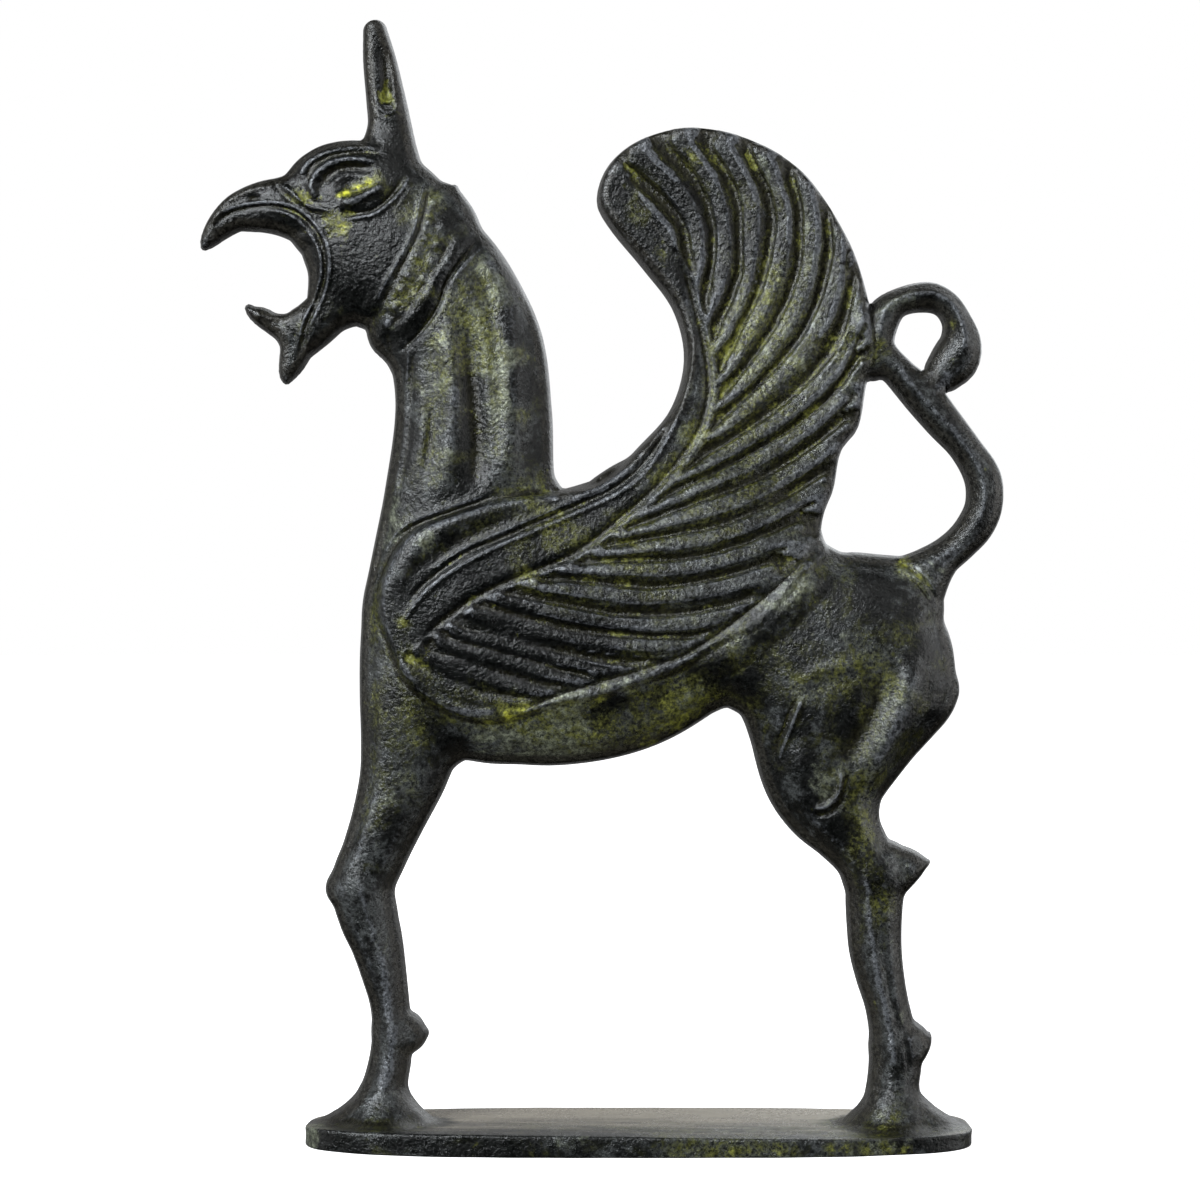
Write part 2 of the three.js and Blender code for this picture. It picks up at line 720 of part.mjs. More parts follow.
// Triangles of the flat outline. A rim edge that is missing gets a point on the outline, and an
// edge that runs from rim to rim gets one at its middle, until neither is left.
function fillOutline(startLoops) {
  let loops = startLoops;
  const inner = makePlaces(loops);
  const pairKey = (a, b) => (a < b ? `${a},${b}` : `${b},${a}`);
  for (let pass = 0; pass < 12; pass += 1) {
    const rimPoints = loops.flat();
    const places = [...rimPoints, ...inner];
    const rimEdges = new Set();
    const next = [];
    let start = 0;
    loops.forEach((loop) => {
      loop.forEach((_, i) => {
        const after = start + ((i + 1) % loop.length);
        rimEdges.add(pairKey(start + i, after));
        next[start + i] = after;
      });
      start += loop.length;
    });
    const isIn = (corners) => {
      const x = corners.reduce((sum, corner) => sum + places[corner][0], 0) / 3;
      const z = corners.reduce((sum, corner) => sum + places[corner][1], 0) / 3;
      return loops.reduce((inside, loop) => inside !== isInside(loop, x, z), false);
    };
    const triangles = triangulate(places).filter(isIn);
    const edges = new Set();
    const chords = new Map();
    triangles.forEach(([a, b, c]) => {
      [[a, b], [b, c], [c, a]].forEach(([from, to]) => {
        const key = pairKey(from, to);
        edges.add(key);
        const isRim = from < rimPoints.length && to < rimPoints.length;
        if (isRim && !rimEdges.has(key)) chords.set(key, [from, to]);
      });
    });
    const missing = new Set([...rimEdges].filter((key) => !edges.has(key)));
    if (!missing.size && !chords.size) return { places, triangles, rimCount: rimPoints.length };
    const middle = (a, b) => [(places[a][0] + places[b][0]) / 2, (places[a][1] + places[b][1]) / 2];
    if (missing.size) {
      start = 0;
      loops = loops.map((loop) => {
        const first = start;
        start += loop.length;
        return loop.flatMap((point, i) => {
          const after = next[first + i];
          if (!missing.has(pairKey(first + i, after))) return [point];
          return [point, ontoOutline(middle(first + i, after))];
        });
      });
    } else {
      chords.forEach(([a, b]) => inner.push(middle(a, b)));
    }
  }
  throw new Error('The outline could not be filled');
}

// The figure: the flat triangles twice, pushed out to the front and to the back
function makeFigure() {
  const { places, triangles, rimCount } = fillOutline(traceOutline());
  const innerCount = places.length - rimCount;
  const lift = PLINTH_THICKNESS;
  const heights = places.map(([x, z], i) => (i < rimCount ? 0 : surfaceHeight(x, z)));
  const positions = places.flatMap(([x, z], i) => [x, -heights[i], z + lift]);
  places.slice(rimCount).forEach(([x, z], i) => {
    positions.push(x, heights[rimCount + i], z + lift);
  });
  const behind = (corner) => (corner < rimCount ? corner : corner + innerCount);
  const index = triangles.flatMap(([a, b, c]) => [a, b, c, behind(a), behind(c), behind(b)]);
  const geometry = new THREE.BufferGeometry();
  geometry.setAttribute('position', new THREE.Float32BufferAttribute(positions, 3));
  geometry.setIndex(index);
  return geometry;
}

// The plinth: a flat slab whose plan is a squarish oval, with softened edges
function makePlinth() {
  const power = 2 / PLINTH_SQUARENESS;
  const points = Array.from({ length: PLINTH_SEGMENTS }, (_, i) => {
    const angle = (2 * Math.PI * i) / PLINTH_SEGMENTS;
    const across = Math.sign(Math.cos(angle)) * Math.abs(Math.cos(angle)) ** power;
    const deep = Math.sign(Math.sin(angle)) * Math.abs(Math.sin(angle)) ** power;
    return new THREE.Vector2(across * PLINTH_HALF_LENGTH, (deep * PLINTH_DEPTH) / 2);
  });
  const geometry = new THREE.ExtrudeGeometry(new THREE.Shape(points), {
    depth: PLINTH_THICKNESS - 2 * PLINTH_EDGE_SOFTENING,
    bevelThickness: PLINTH_EDGE_SOFTENING,
    bevelSize: PLINTH_EDGE_SOFTENING,
    bevelOffset: -PLINTH_EDGE_SOFTENING,
    bevelSegments: 2,
    curveSegments: 1,
  });
  geometry.translate(0, 0, PLINTH_EDGE_SOFTENING);
  return geometry;
}

// Joining the two into one solid
const wasm = await Module();
wasm.setup();

function toSolid(geometry) {
  const source = geometry.index ? geometry.toNonIndexed() : geometry;
  const position = source.getAttribute('position');
  const seen = new Map();
  const vertProperties = [];
  const triVerts = [];
  for (let i = 0; i < position.count; i += 1) {
    const corner = [position.getX(i), position.getY(i), position.getZ(i)];
    const key = corner.map((value) => Math.round(value * 1e4)).join();
    if (!seen.has(key)) {
      seen.set(key, seen.size);
      vertProperties.push(...corner);
    }
    triVerts.push(seen.get(key));
  }
  return new wasm.Manifold(new wasm.Mesh({
    numProp: 3,
    vertProperties: new Float32Array(vertProperties),
    triVerts: new Uint32Array(triVerts),
  }));
}

function toGeometry(solid) {
  const { vertProperties, triVerts, numProp } = solid.getMesh();
  const geometry = new THREE.BufferGeometry();
  const positions = [];
  for (let i = 0; i < vertProperties.length; i += numProp) {
    positions.push(vertProperties[i], vertProperties[i + 1], vertProperties[i + 2]);
  }
  geometry.setAttribute('position', new THREE.Float32BufferAttribute(positions, 3));
  geometry.setIndex(Array.from(triVerts));
  geometry.computeVertexNormals();
  return geometry;
}

const bronze = new THREE.MeshStandardMaterial({ color: 0x34362e, roughness: 0.5, metalness: 0.75 });
const statue = new THREE.Mesh(toGeometry(toSolid(makeFigure()).add(toSolid(makePlinth()))), bronze);
statue.name = 'griffin_statue';

const griffinStatue = new THREE.Group();
griffinStatue.add(statue);

export default griffinStatue;
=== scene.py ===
"""Griffin statue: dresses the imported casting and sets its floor, lights and camera.

Places on the statue are in thousandths of the figure's height, across from the middle of the
stance and up from the plinth. The modelling works in millimetres and the meshes are in metres.
"""

import math

import bpy
import numpy as np
from bpy.props import FloatProperty, FloatVectorProperty, PointerProperty
from bpy.types import Operator, Panel, PropertyGroup
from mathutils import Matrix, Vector, geometry, noise


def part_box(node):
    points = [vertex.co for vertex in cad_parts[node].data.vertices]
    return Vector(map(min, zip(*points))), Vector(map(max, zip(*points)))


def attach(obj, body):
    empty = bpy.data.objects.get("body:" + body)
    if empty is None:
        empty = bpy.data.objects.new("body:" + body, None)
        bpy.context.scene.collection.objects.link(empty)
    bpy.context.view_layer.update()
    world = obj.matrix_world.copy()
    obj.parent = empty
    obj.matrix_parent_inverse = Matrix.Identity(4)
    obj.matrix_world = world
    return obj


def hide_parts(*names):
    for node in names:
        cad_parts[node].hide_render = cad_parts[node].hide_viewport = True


bl_info = {
    "name": "Griffin Statue",
    "version": (1, 0, 0),
    "blender": (4, 5, 0),
    "location": "View3D > Sidebar > Griffin",
    "description": "Builds the bronze griffin around its frame, with floor, lights and camera",
    "category": "Add Mesh",
}

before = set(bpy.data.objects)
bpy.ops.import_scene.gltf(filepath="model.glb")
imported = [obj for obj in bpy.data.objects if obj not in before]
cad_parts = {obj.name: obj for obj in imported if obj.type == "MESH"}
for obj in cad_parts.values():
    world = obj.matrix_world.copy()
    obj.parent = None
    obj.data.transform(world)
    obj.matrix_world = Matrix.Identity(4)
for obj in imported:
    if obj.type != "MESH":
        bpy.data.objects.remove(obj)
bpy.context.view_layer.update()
STATUE_LOW, STATUE_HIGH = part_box("griffin_statue")

MILLIMETRE = 0.001

# The height that the lights aim at, in metres
LIGHTS_AIM = 0.09

# How far each foot stands from the middle of the stance
STANCE = 230.5

# The pose. Each limb holds how square its sections are, and its stations: across, up, radius, and
# thickness in hundredths of the figure's thickness.
LIMBS = {
    "neck": (2.3, (
        (-208, 780, 63, 75), (-188, 759, 68, 77), (-168, 725, 70, 79), (-154, 692, 70, 80),
        (-149, 639, 71, 82), (-151, 562, 79, 86), (-139, 498, 103, 89), (-122, 456, 128, 91),
    )),
    "nape": (2.2, (
        (-193, 799, 52, 68), (-179, 827, 24, 50), (-171, 837, 11, 32), (-167, 844, 5, 18),
    )),
    "throat": (2.2, (
        (-193, 752, 56, 71), (-214, 733, 33, 66), (-226, 717, 20, 57), (-229, 708, 14, 50),
        (-225, 700, 11, 46), (-218, 691, 8, 43),
    )),
    "foreleg": (2.3, (
        (-121, 454, 129, 93), (-163, 418, 89, 89), (-187, 386, 65, 84), (-204, 350, 47, 77),
        (-213, 314, 39, 71), (-226, 277, 33, 68), (-238, 246, 30, 64), (-249, 216, 29, 61),
        (-244, 187, 27, 59), (-237, 165, 24, 57), (-231, 140, 21, 55), (-225, 110, 18, 55),
        (-223, 85, 18, 57), (-224, 61, 19, 57), (-229, 34, 21, 59), (-231, 11, 29, 66),
        (-231, -14, 34, 71),
    )),
    "knee": (2.2, (
        (-250, 215, 29, 59), (-264, 213, 19, 46), (-274, 212, 8, 27), (-280, 212, 3, 14),
    )),
    "fore_fetlock": (2.2, (
        (-217, 84, 24, 52), (-209, 82, 18, 46), (-201, 82, 11, 36), (-194, 83, 5, 23),
        (-192, 84, 2, 14),
    )),
    "trunk": (2.7, (
        (-118, 449, 123, 93), (-75, 445, 121, 95), (-31, 456, 123, 95), (13, 476, 118, 95),
        (48, 492, 120, 95), (96, 466, 91, 95), (148, 437, 87, 96), (185, 412, 99, 98),
    )),
    "hind_leg": (2.4, (
        (185, 411, 100, 100), (177, 368, 79, 96), (169, 323, 59, 88), (173, 295, 46, 79),
        (186, 268, 33, 68), (203, 242, 27, 61), (213, 216, 27, 57), (213, 198, 26, 56),
        (213, 180, 25, 55), (214, 159, 24, 54), (218, 135, 22, 54), (224, 110, 20, 54),
        (229, 85, 21, 54), (232, 58, 24, 55), (230, 36, 24, 57), (229, 11, 28, 64),
        (229, -14, 34, 71),
    )),
    "buttock": (2.4, (
        (185, 411, 100, 100), (218, 400, 69, 95), (242, 394, 47, 80), (260, 393, 30, 64),
        (276, 391, 14, 39),
    )),
    "hock": (2.2, (
        (216, 228, 32, 55), (229, 230, 24, 50), (241, 233, 17, 43), (251, 235, 10, 32),
        (258, 236, 5, 21), (262, 237, 2, 14),
    )),
    "hind_fetlock": (2.2, (
        (235, 71, 27, 52), (244, 73, 20, 45), (253, 75, 12, 34), (260, 79, 5, 21),
        (264, 81, 2, 14),
    )),
    "tail_web": (2.2, (
        (204, 714, 18, 43), (211, 690, 19, 43),
    )),
    "tail": (2.1, (
        (191, 438, 79, 89), (225, 463, 51, 80), (244, 481, 33, 66), (271, 508, 18, 50),
        (290, 524, 16, 46), (304, 540, 17, 45), (312, 559, 17, 45), (311, 584, 17, 45),
        (295, 611, 15, 45), (275, 635, 17, 45), (256, 658, 18, 45), (235, 679, 15, 45),
        (216, 702, 16, 45), (221, 729, 16, 45), (235, 742, 13, 45), (262, 747, 14, 46),
        (278, 740, 13, 48), (288, 724, 14, 50), (291, 705, 19, 52), (286, 691, 22, 50),
        (277, 680, 19, 46),
    )),
    "ear": (2.2, (
        (-238, 987, 11, 21), (-234, 961, 15, 29), (-228, 924, 18, 34), (-225, 901, 20, 39),
        (-226, 878, 26, 50), (-231, 849, 39, 64),
    )),
    "skull": (2.4, (
        (-208, 783, 71, 75), (-226, 794, 75, 77), (-244, 818, 68, 75), (-266, 830, 58, 71),
        (-283, 831, 45, 64), (-303, 829, 33, 55), (-320, 829, 27, 50), (-335, 829, 24, 45),
        (-349, 827, 21, 38), (-363, 823, 17, 32), (-377, 812, 13, 23), (-388, 799, 8, 14),
        (-392, 793, 4, 9),
    )),
    "jaw": (2.3, (
        (-229, 780, 65, 71), (-249, 771, 49, 64), (-266, 752, 33, 54), (-279, 736, 23, 46),
        (-294, 722, 22, 43), (-304, 714, 22, 39), (-308, 703, 16, 30), (-313, 688, 12, 23),
        (-317, 678, 8, 16), (-318, 672, 4, 9),
    )),
    "tongue": (2, (
        (-314, 717, 15, 23), (-330, 723, 10, 16), (-340, 729, 9, 14), (-348, 733, 6, 11),
        (-352, 737, 4, 9),
    )),
}

# A foot runs out on the plinth both ways. Its stations are like a limb's, but the first number is
# a share of the plinth's end margin, counted from the foot's axis towards the plinth's end.
FOOT_RUNOUTS = (
    ((0.14, 13, 21, 54), (0.42, 6, 13, 43), (0.66, 1, 8, 32), (0.84, -3, 6, 21)),
    ((-0.12, 12, 22, 54), (-0.38, 4, 13, 43), (-0.62, -3, 7, 32)),
)

# The wing's edge, once around: up the neck side, over the tip, down the feather ends and back
# along the lower edge to the shoulder
WING_EDGE = [
    (-66, 573), (-33, 581), (1, 613), (29, 646), (41, 691), (31, 735), (4, 772), (-27, 810),
    (-38, 833), (-28, 865), (1, 889), (47, 900), (101, 889), (149, 859), (188, 802), (206, 752),
    (212, 707), (205, 663), (198, 628), (183, 608), (176, 573), (168, 553), (165, 533),
    (171, 514), (146, 492), (128, 470), (110, 451), (74, 432), (38, 411), (1, 397), (-35, 385),
    (-71, 378), (-107, 367), (-143, 364), (-179, 376), (-208, 399), (-223, 429), (-234, 456),
    (-234, 483), (-221, 517), (-202, 539), (-161, 554), (-116, 566),
]
SHOULDER = (-152, 437)

# Key feathers, each from its tip to its root. The feathers between them are worked out.
FEATHER_COUNT = 18
KEY_FEATHERS = {
    0: ((-5, 867), (28, 838), (45, 812), (50, 783), (48, 740)),
    1: ((33, 884), (55, 856), (69, 825), (72, 780), (58, 725)),
    2: ((70, 881), (93, 839), (97, 799), (93, 754), (61, 691)),
    3: ((105, 876), (126, 823), (119, 765), (94, 711), (65, 659)),
    4: ((143, 857), (151, 807), (141, 745), (99, 678), (49, 631)),
    5: ((172, 831), (177, 780), (151, 709), (96, 649), (35, 604)),
    6: ((198, 759), (183, 698), (137, 648), (78, 608), (19, 576)),
    7: ((200, 684), (169, 647), (121, 611), (63, 581), (1, 551)),
    9: ((166, 581), (120, 554), (71, 534), (18, 525), (-35, 517)),
    12: ((96, 467), (41, 456), (-16, 455), (-71, 465), (-125, 477)),
    13: ((103, 456), (56, 438), (1, 437), (-66, 444), (-143, 465)),
    14: ((15, 409), (-35, 413), (-71, 422), (-116, 435), (-160, 445)),
    15: ((-17, 398), (-53, 404), (-85, 413), (-125, 424), (-169, 436)),
    17: ((-98, 382), (-127, 385), (-155, 392), (-180, 402), (-207, 415)),
}

# Carved lines, rolls and hollows: half their width, their rise and over what lengths they fade in
# and out, all in millimetres, and their course
STROKES = {
    "wing_cord_lower": (0.6, 0.32, 3, 8, (
        (-213, 447), (-202, 465), (-187, 483), (-170, 496), (-148, 509), (-125, 521), (-89, 536),
        (-53, 552), (-17, 569), (6, 587), (21, 610), (35, 637), (44, 664), (48, 691), (48, 714),
        (46, 734),
    )),
    "wing_cord_upper": (0.55, 0.26, 4, 8, (
        (-190, 495), (-175, 507), (-152, 521), (-125, 533), (-89, 548), (-53, 564), (-24, 580),
        (0, 601), (16, 622), (28, 648), (37, 673), (41, 700), (41, 722), (36, 741),
    )),
    "wing_cord_groove": (0.75, -0.5, 4, 6, (
        (-205, 470), (-190, 488), (-172, 502), (-151, 516), (-125, 527), (-89, 543), (-53, 558),
        (-20, 574), (2, 593), (19, 616), (31, 642), (40, 668), (45, 696), (45, 718),
    )),
    "wing_rim_groove": (0.8, -0.3, 6, 6, (
        (-107, 558), (-71, 571), (-35, 581), (-2, 601), (19, 630), (31, 658), (38, 689),
        (38, 718), (30, 745), (10, 774), (-9, 799), (-24, 816),
    )),
    "arm_lower_groove": (1.1, -0.75, 5, 6, (
        (-192, 438), (-175, 454), (-152, 471), (-125, 486), (-98, 497), (-73, 507), (-51, 519),
        (-31, 534), (-8, 553), (9, 568), (23, 583), (39, 603), (53, 625), (59, 644), (62, 666),
        (60, 689), (56, 711), (50, 734), (45, 756), (32, 780),
    )),
    "wing_lower_cord": (1.9, 0.5, 6, 5, (
        (-107, 364), (-71, 375), (-35, 386), (1, 397), (27, 406),
    )),
    "wing_lower_groove": (0.8, -0.45, 8, 3, (
        (-125, 374), (-98, 379), (-69, 390), (-33, 401), (3, 412), (38, 424), (70, 444),
        (99, 466), (125, 488), (146, 507), (160, 520),
    )),
    "hip_fold": (3.2, 1, 6, 4, (
        (41, 402), (57, 413), (81, 428), (106, 446), (130, 465), (148, 485), (162, 505),
    )),
    "shoulder_line": (0.5, 0.28, 3, 5, (
        (-132, 568), (-152, 561), (-179, 552), (-202, 543), (-216, 534), (-226, 517), (-234, 499),
        (-236, 478), (-235, 458), (-230, 438), (-219, 419),
    )),
    "shoulder_groove": (0.7, -0.4, 3, 8, (
        (-131, 561), (-152, 554), (-178, 545), (-198, 536), (-210, 527), (-220, 512), (-227, 495),
        (-230, 476), (-229, 459), (-224, 441), (-213, 423),
    )),
    "shoulder_crescent": (2.4, 0.6, 8, 8, (
        (-219, 463), (-217, 483), (-208, 506), (-194, 524), (-174, 537), (-151, 547), (-125, 554),
    )),
    "shoulder_valley": (2.2, -0.5, 8, 8, (
        (-198, 488), (-179, 508), (-157, 524), (-125, 540), (-94, 554),
    )),
    "neck_bevel_ridge": (0.5, 0.28, 4, 4, (
        (-205, 702), (-207, 680), (-208, 655), (-209, 632), (-212, 610), (-216, 584), (-221, 562),
    )),
    "neck_bevel_groove": (0.6, -0.35, 4, 4, (
        (-200, 700), (-203, 680), (-204, 655), (-205, 632), (-207, 610), (-212, 584), (-216, 562),
    )),
    "neck_front_roll": (2.5, 0.85, 8, 10, (
        (-174, 729), (-169, 691), (-166, 655), (-168, 619), (-173, 583), (-181, 557),
    )),
    "neck_front_small": (1.3, 0.25, 10, 12, (
        (-194, 698), (-193, 664), (-193, 628), (-198, 592), (-205, 560),
    )),
    "neck_front_flute": (0.9, -0.35, 6, 8, (
        (-186, 655), (-185, 628), (-188, 601), (-194, 569),
    )),
    "neck_top_edge": (0.6, 0.4, 3, 3, (
        (-138, 790), (-151, 777), (-162, 762), (-169, 749),
    )),
    "neck_furrow": (2.6, -1.15, 12, 8, (
        (-160, 745), (-152, 705), (-148, 664), (-145, 628), (-145, 592), (-149, 560),
    )),
    "neck_back_roll": (3, 0.9, 5, 6, (
        (-140, 796), (-123, 759), (-115, 718), (-112, 677), (-112, 637), (-115, 601), (-122, 568),
    )),
    "neck_back_flute": (1.8, -0.5, 12, 12, (
        (-107, 745), (-98, 705), (-94, 668), (-94, 628), (-101, 592),
    )),
    "neck_foot_step": (0.7, -0.5, 4, 6, (
        (-216, 524), (-205, 536), (-183, 546), (-156, 556), (-134, 564), (-116, 567),
    )),
    "cheek_ridge": (0.45, 0.38, 2, 3, (
        (-191, 850), (-194, 836), (-197, 821), (-199, 807), (-206, 790), (-216, 772), (-225, 757),
        (-233, 743), (-238, 733),
    )),
    "cheek_groove": (0.5, -0.4, 3, 3, (
        (-188, 845), (-190, 828), (-193, 810), (-200, 791), (-210, 772), (-219, 755), (-227, 740),
        (-233, 730),
    )),
    "cheek_second": (0.4, 0.32, 2, 3, (
        (-216, 823), (-209, 832), (-204, 842), (-201, 853),
    )),
    "collar_roll": (1.9, 0.6, 3, 4, (
        (-154, 803), (-166, 781), (-180, 759), (-191, 740), (-206, 722), (-222, 706),
    )),
    "collar_edge": (0.65, -0.65, 2, 4, (
        (-145, 797), (-155, 781), (-167, 765), (-173, 754), (-179, 735), (-192, 716), (-208, 700),
        (-219, 693),
    )),
    "collar_inner": (0.5, -0.35, 3, 3, (
        (-166, 797), (-174, 780), (-187, 761), (-198, 743), (-213, 725), (-226, 713),
    )),
    "brow_ridge": (1, 0.6, 2, 4, (
        (-303, 848), (-301, 859), (-294, 868), (-281, 875), (-264, 879), (-246, 880), (-230, 875),
    )),
    "brow_groove": (0.6, -0.5, 3, 3, (
        (-295, 843), (-294, 855), (-287, 864), (-275, 870), (-259, 873), (-243, 874), (-227, 871),
    )),
    "orbit_ridge": (0.9, 0.6, 2, 3, (
        (-286, 830), (-292, 839), (-292, 849), (-284, 858), (-273, 865), (-259, 867), (-243, 866),
        (-230, 862),
    )),
    "orbit_groove": (1.4, -0.8, 3, 3, (
        (-281, 836), (-281, 846), (-273, 855), (-261, 859), (-246, 859), (-234, 856),
    )),
    "eye_lower_lid": (1.1, 0.8, 2, 2, (
        (-268, 828), (-259, 828), (-248, 832), (-237, 837), (-226, 845),
    )),
    "eye_slit": (0.7, -0.4, 2, 2, (
        (-272, 834), (-259, 837), (-246, 840), (-236, 845),
    )),
    "beak_rim_outer": (0.55, 0.5, 3, 3, (
        (-386, 809), (-375, 821), (-353, 828), (-326, 829), (-306, 824), (-290, 810), (-280, 794),
        (-276, 778), (-278, 759), (-284, 742), (-292, 724), (-298, 709),
    )),
    "beak_rim_inner": (0.45, 0.4, 6, 3, (
        (-340, 824), (-326, 822), (-309, 816), (-296, 803), (-288, 790), (-284, 775), (-286, 759),
        (-292, 742), (-301, 722), (-306, 704), (-310, 689),
    )),
    "beak_rim_groove": (0.45, -0.5, 3, 3, (
        (-380, 810), (-369, 820), (-349, 826), (-326, 826), (-307, 820), (-292, 807), (-283, 792),
        (-281, 777), (-282, 759), (-288, 742), (-297, 722), (-302, 705),
    )),
    "beak_top_ridge": (0.9, 0.35, 3, 4, (
        (-387, 807), (-376, 826), (-360, 837), (-340, 844), (-324, 846),
    )),
    "cere_ridge": (0.7, 0.4, 2, 2, (
        (-321, 848), (-313, 840), (-303, 831), (-293, 824), (-282, 822), (-273, 817),
    )),
    "cere_groove": (0.5, -0.4, 2, 2, (
        (-330, 850), (-323, 842), (-315, 834), (-307, 827),
    )),
    "nostril": (0.7, -0.5, 1, 1, (
        (-351, 833), (-344, 834), (-339, 832),
    )),
    "tongue_ridge": (0.55, 0.4, 2, 2, (
        (-351, 735), (-340, 729), (-329, 727), (-317, 730),
    )),
    "jaw_ridge": (0.7, 0.4, 3, 3, (
        (-283, 732), (-290, 718), (-296, 704), (-302, 691), (-309, 681),
    )),
    "ear_left_ridge": (0.42, 0.22, 3, 2, (
        (-242, 969), (-244, 949), (-243, 931), (-239, 915), (-232, 907), (-222, 904), (-214, 909),
    )),
    "ear_hollow": (1.25, -1, 6, 1.5, (
        (-234, 980), (-229, 960), (-226, 940), (-226, 921),
    )),
    "ear_hollow_low": (1.5, -0.6, 3, 1, (
        (-231, 944), (-228, 931), (-226, 917),
    )),
    "ear_inner_arc": (0.4, 0.35, 1.5, 1.5, (
        (-236, 930), (-234, 917), (-226, 910), (-217, 914), (-216, 926),
    )),
    "ear_right_line": (0.5, -0.15, 3, 3, (
        (-228, 978), (-222, 957), (-217, 935), (-214, 915),
    )),
    "orbit_lower_arc": (0.5, 0.45, 3, 2, (
        (-261, 813), (-245, 815), (-234, 818), (-226, 824), (-217, 832), (-211, 840), (-206, 849),
        (-203, 857),
    )),
    "lid_groove": (0.7, -0.6, 3, 3, (
        (-270, 823), (-261, 818), (-250, 818), (-239, 820), (-228, 827), (-219, 837), (-213, 846),
        (-210, 853),
    )),
    "eye_socket": (2.2, -0.8, 4, 4, (
        (-275, 839), (-263, 844), (-250, 847), (-235, 849),
    )),
    "haunch_crease_ridge": (0.5, 0.6, 1, 2, (
        (144, 385), (139, 372), (134, 359), (130, 347), (126, 337), (125, 328),
    )),
    "haunch_crease_groove": (0.6, -0.7, 1.5, 3, (
        (139, 386), (133, 374), (129, 361), (124, 348), (121, 337), (121, 327),
    )),
    "haunch_arc": (1.8, 0.28, 4, 4, (
        (202, 419), (188, 416), (173, 413), (160, 411), (149, 404), (140, 394),
    )),
    "haunch_arc_groove": (1.6, -0.12, 3, 3, (
        (206, 409), (189, 405), (175, 403), (162, 398), (151, 389),
    )),
    "haunch_nick": (0.42, 0.75, 0.8, 1.2, (
        (179, 321), (179, 310), (176, 300), (170, 292), (162, 288), (155, 289),
    )),
    "haunch_nick_groove": (0.6, -0.6, 1, 1.5, (
        (185, 319), (183, 308), (180, 297), (174, 287), (164, 282), (155, 283),
    )),
    "haunch_bulge": (3, 1.4, 8, 8, (
        (238, 438), (242, 409), (238, 382), (224, 352), (209, 322), (202, 298),
    )),
    "haunch_valley": (2.8, -1.1, 8, 8, (
        (207, 424), (211, 394), (202, 367), (187, 340), (180, 310),
    )),
    "thigh_front_roll": (2.6, 0.5, 8, 8, (
        (146, 370), (143, 343), (146, 316), (160, 293),
    )),
    "rump_bevel_line": (0.6, -0.35, 5, 4, (
        (179, 505), (205, 504), (227, 500), (244, 491), (256, 477), (264, 460), (271, 433),
        (275, 409), (273, 384),
    )),
    "tail_root_fold": (0.7, -0.5, 2, 3, (
        (226, 510), (238, 505), (251, 495), (262, 481), (269, 465),
    )),
    "chest_bevel_line": (0.55, -0.3, 5, 6, (
        (-219, 557), (-226, 536), (-233, 510), (-238, 481), (-240, 451), (-239, 420), (-237, 384),
        (-237, 347), (-239, 316), (-246, 282), (-258, 253), (-265, 228),
    )),
    "chest_hollow": (2.6, -0.4, 6, 6, (
        (-181, 379), (-174, 357), (-175, 337),
    )),
    "tail_crest": (1.1, 0.35, 6, 9, (
        (222, 698), (238, 675), (256, 652), (277, 630), (295, 608), (307, 583), (309, 560),
        (300, 539), (283, 524),
    )),
    "tail_curl_crest": (1, 0.35, 3, 3, (
        (218, 700), (218, 725), (229, 743), (254, 750), (276, 743), (288, 725), (292, 705),
        (286, 689),
    )),
    "tail_web_hollow": (1, -0.5, 2, 2, (
        (207, 729), (207, 714), (209, 698),
    )),
    "fore_crest": (1.3, 0.4, 8, 8, (
        (-252, 239), (-246, 203), (-235, 167), (-226, 131), (-221, 94), (-219, 63), (-223, 31),
    )),
    "hind_crest": (1.2, 0.45, 5, 8, (
        (202, 237), (204, 212), (207, 185), (210, 158), (216, 126), (224, 90), (227, 58),
        (226, 31),
    )),
    "hind_back_groove": (1, -0.3, 5, 5, (
        (222, 171), (222, 144), (227, 112), (237, 81), (241, 54), (239, 33),
    )),
    "hock_hollow": (1.6, -0.4, 3, 3, (
        (227, 248), (235, 237), (232, 223),
    )),
}

# Small cast knobs on the head and on the ruff behind the cheek: across, up, and radius and rise in
# millimetres
KNOBS = (
    (-254, 827, 1.5, 0.35), (-241, 885, 0.9, 0.5), (-307, 840, 1.2, 0.3), (-306, 831, 1.3, 0.25),
    (-224, 718, 1.2, 0.3), (-188, 810, 1.1, 0.39), (-190, 795, 0.9, 0.45), (-179, 790, 1.3, 0.36),
    (-197, 780, 1, 0.45), (-183, 774, 1.4, 0.39), (-205, 762, 1.2, 0.48), (-191, 758, 1, 0.42),
    (-212, 749, 1, 0.45), (-198, 743, 1.3, 0.38), (-218, 734, 1.2, 0.48), (-225, 721, 1.3, 0.68),
    (-211, 729, 1, 0.38), (-185, 843, 1, 0.38), (-182, 828, 1.3, 0.45), (-186, 821, 0.9, 0.3),
    (-174, 807, 1.5, 0.3),
)

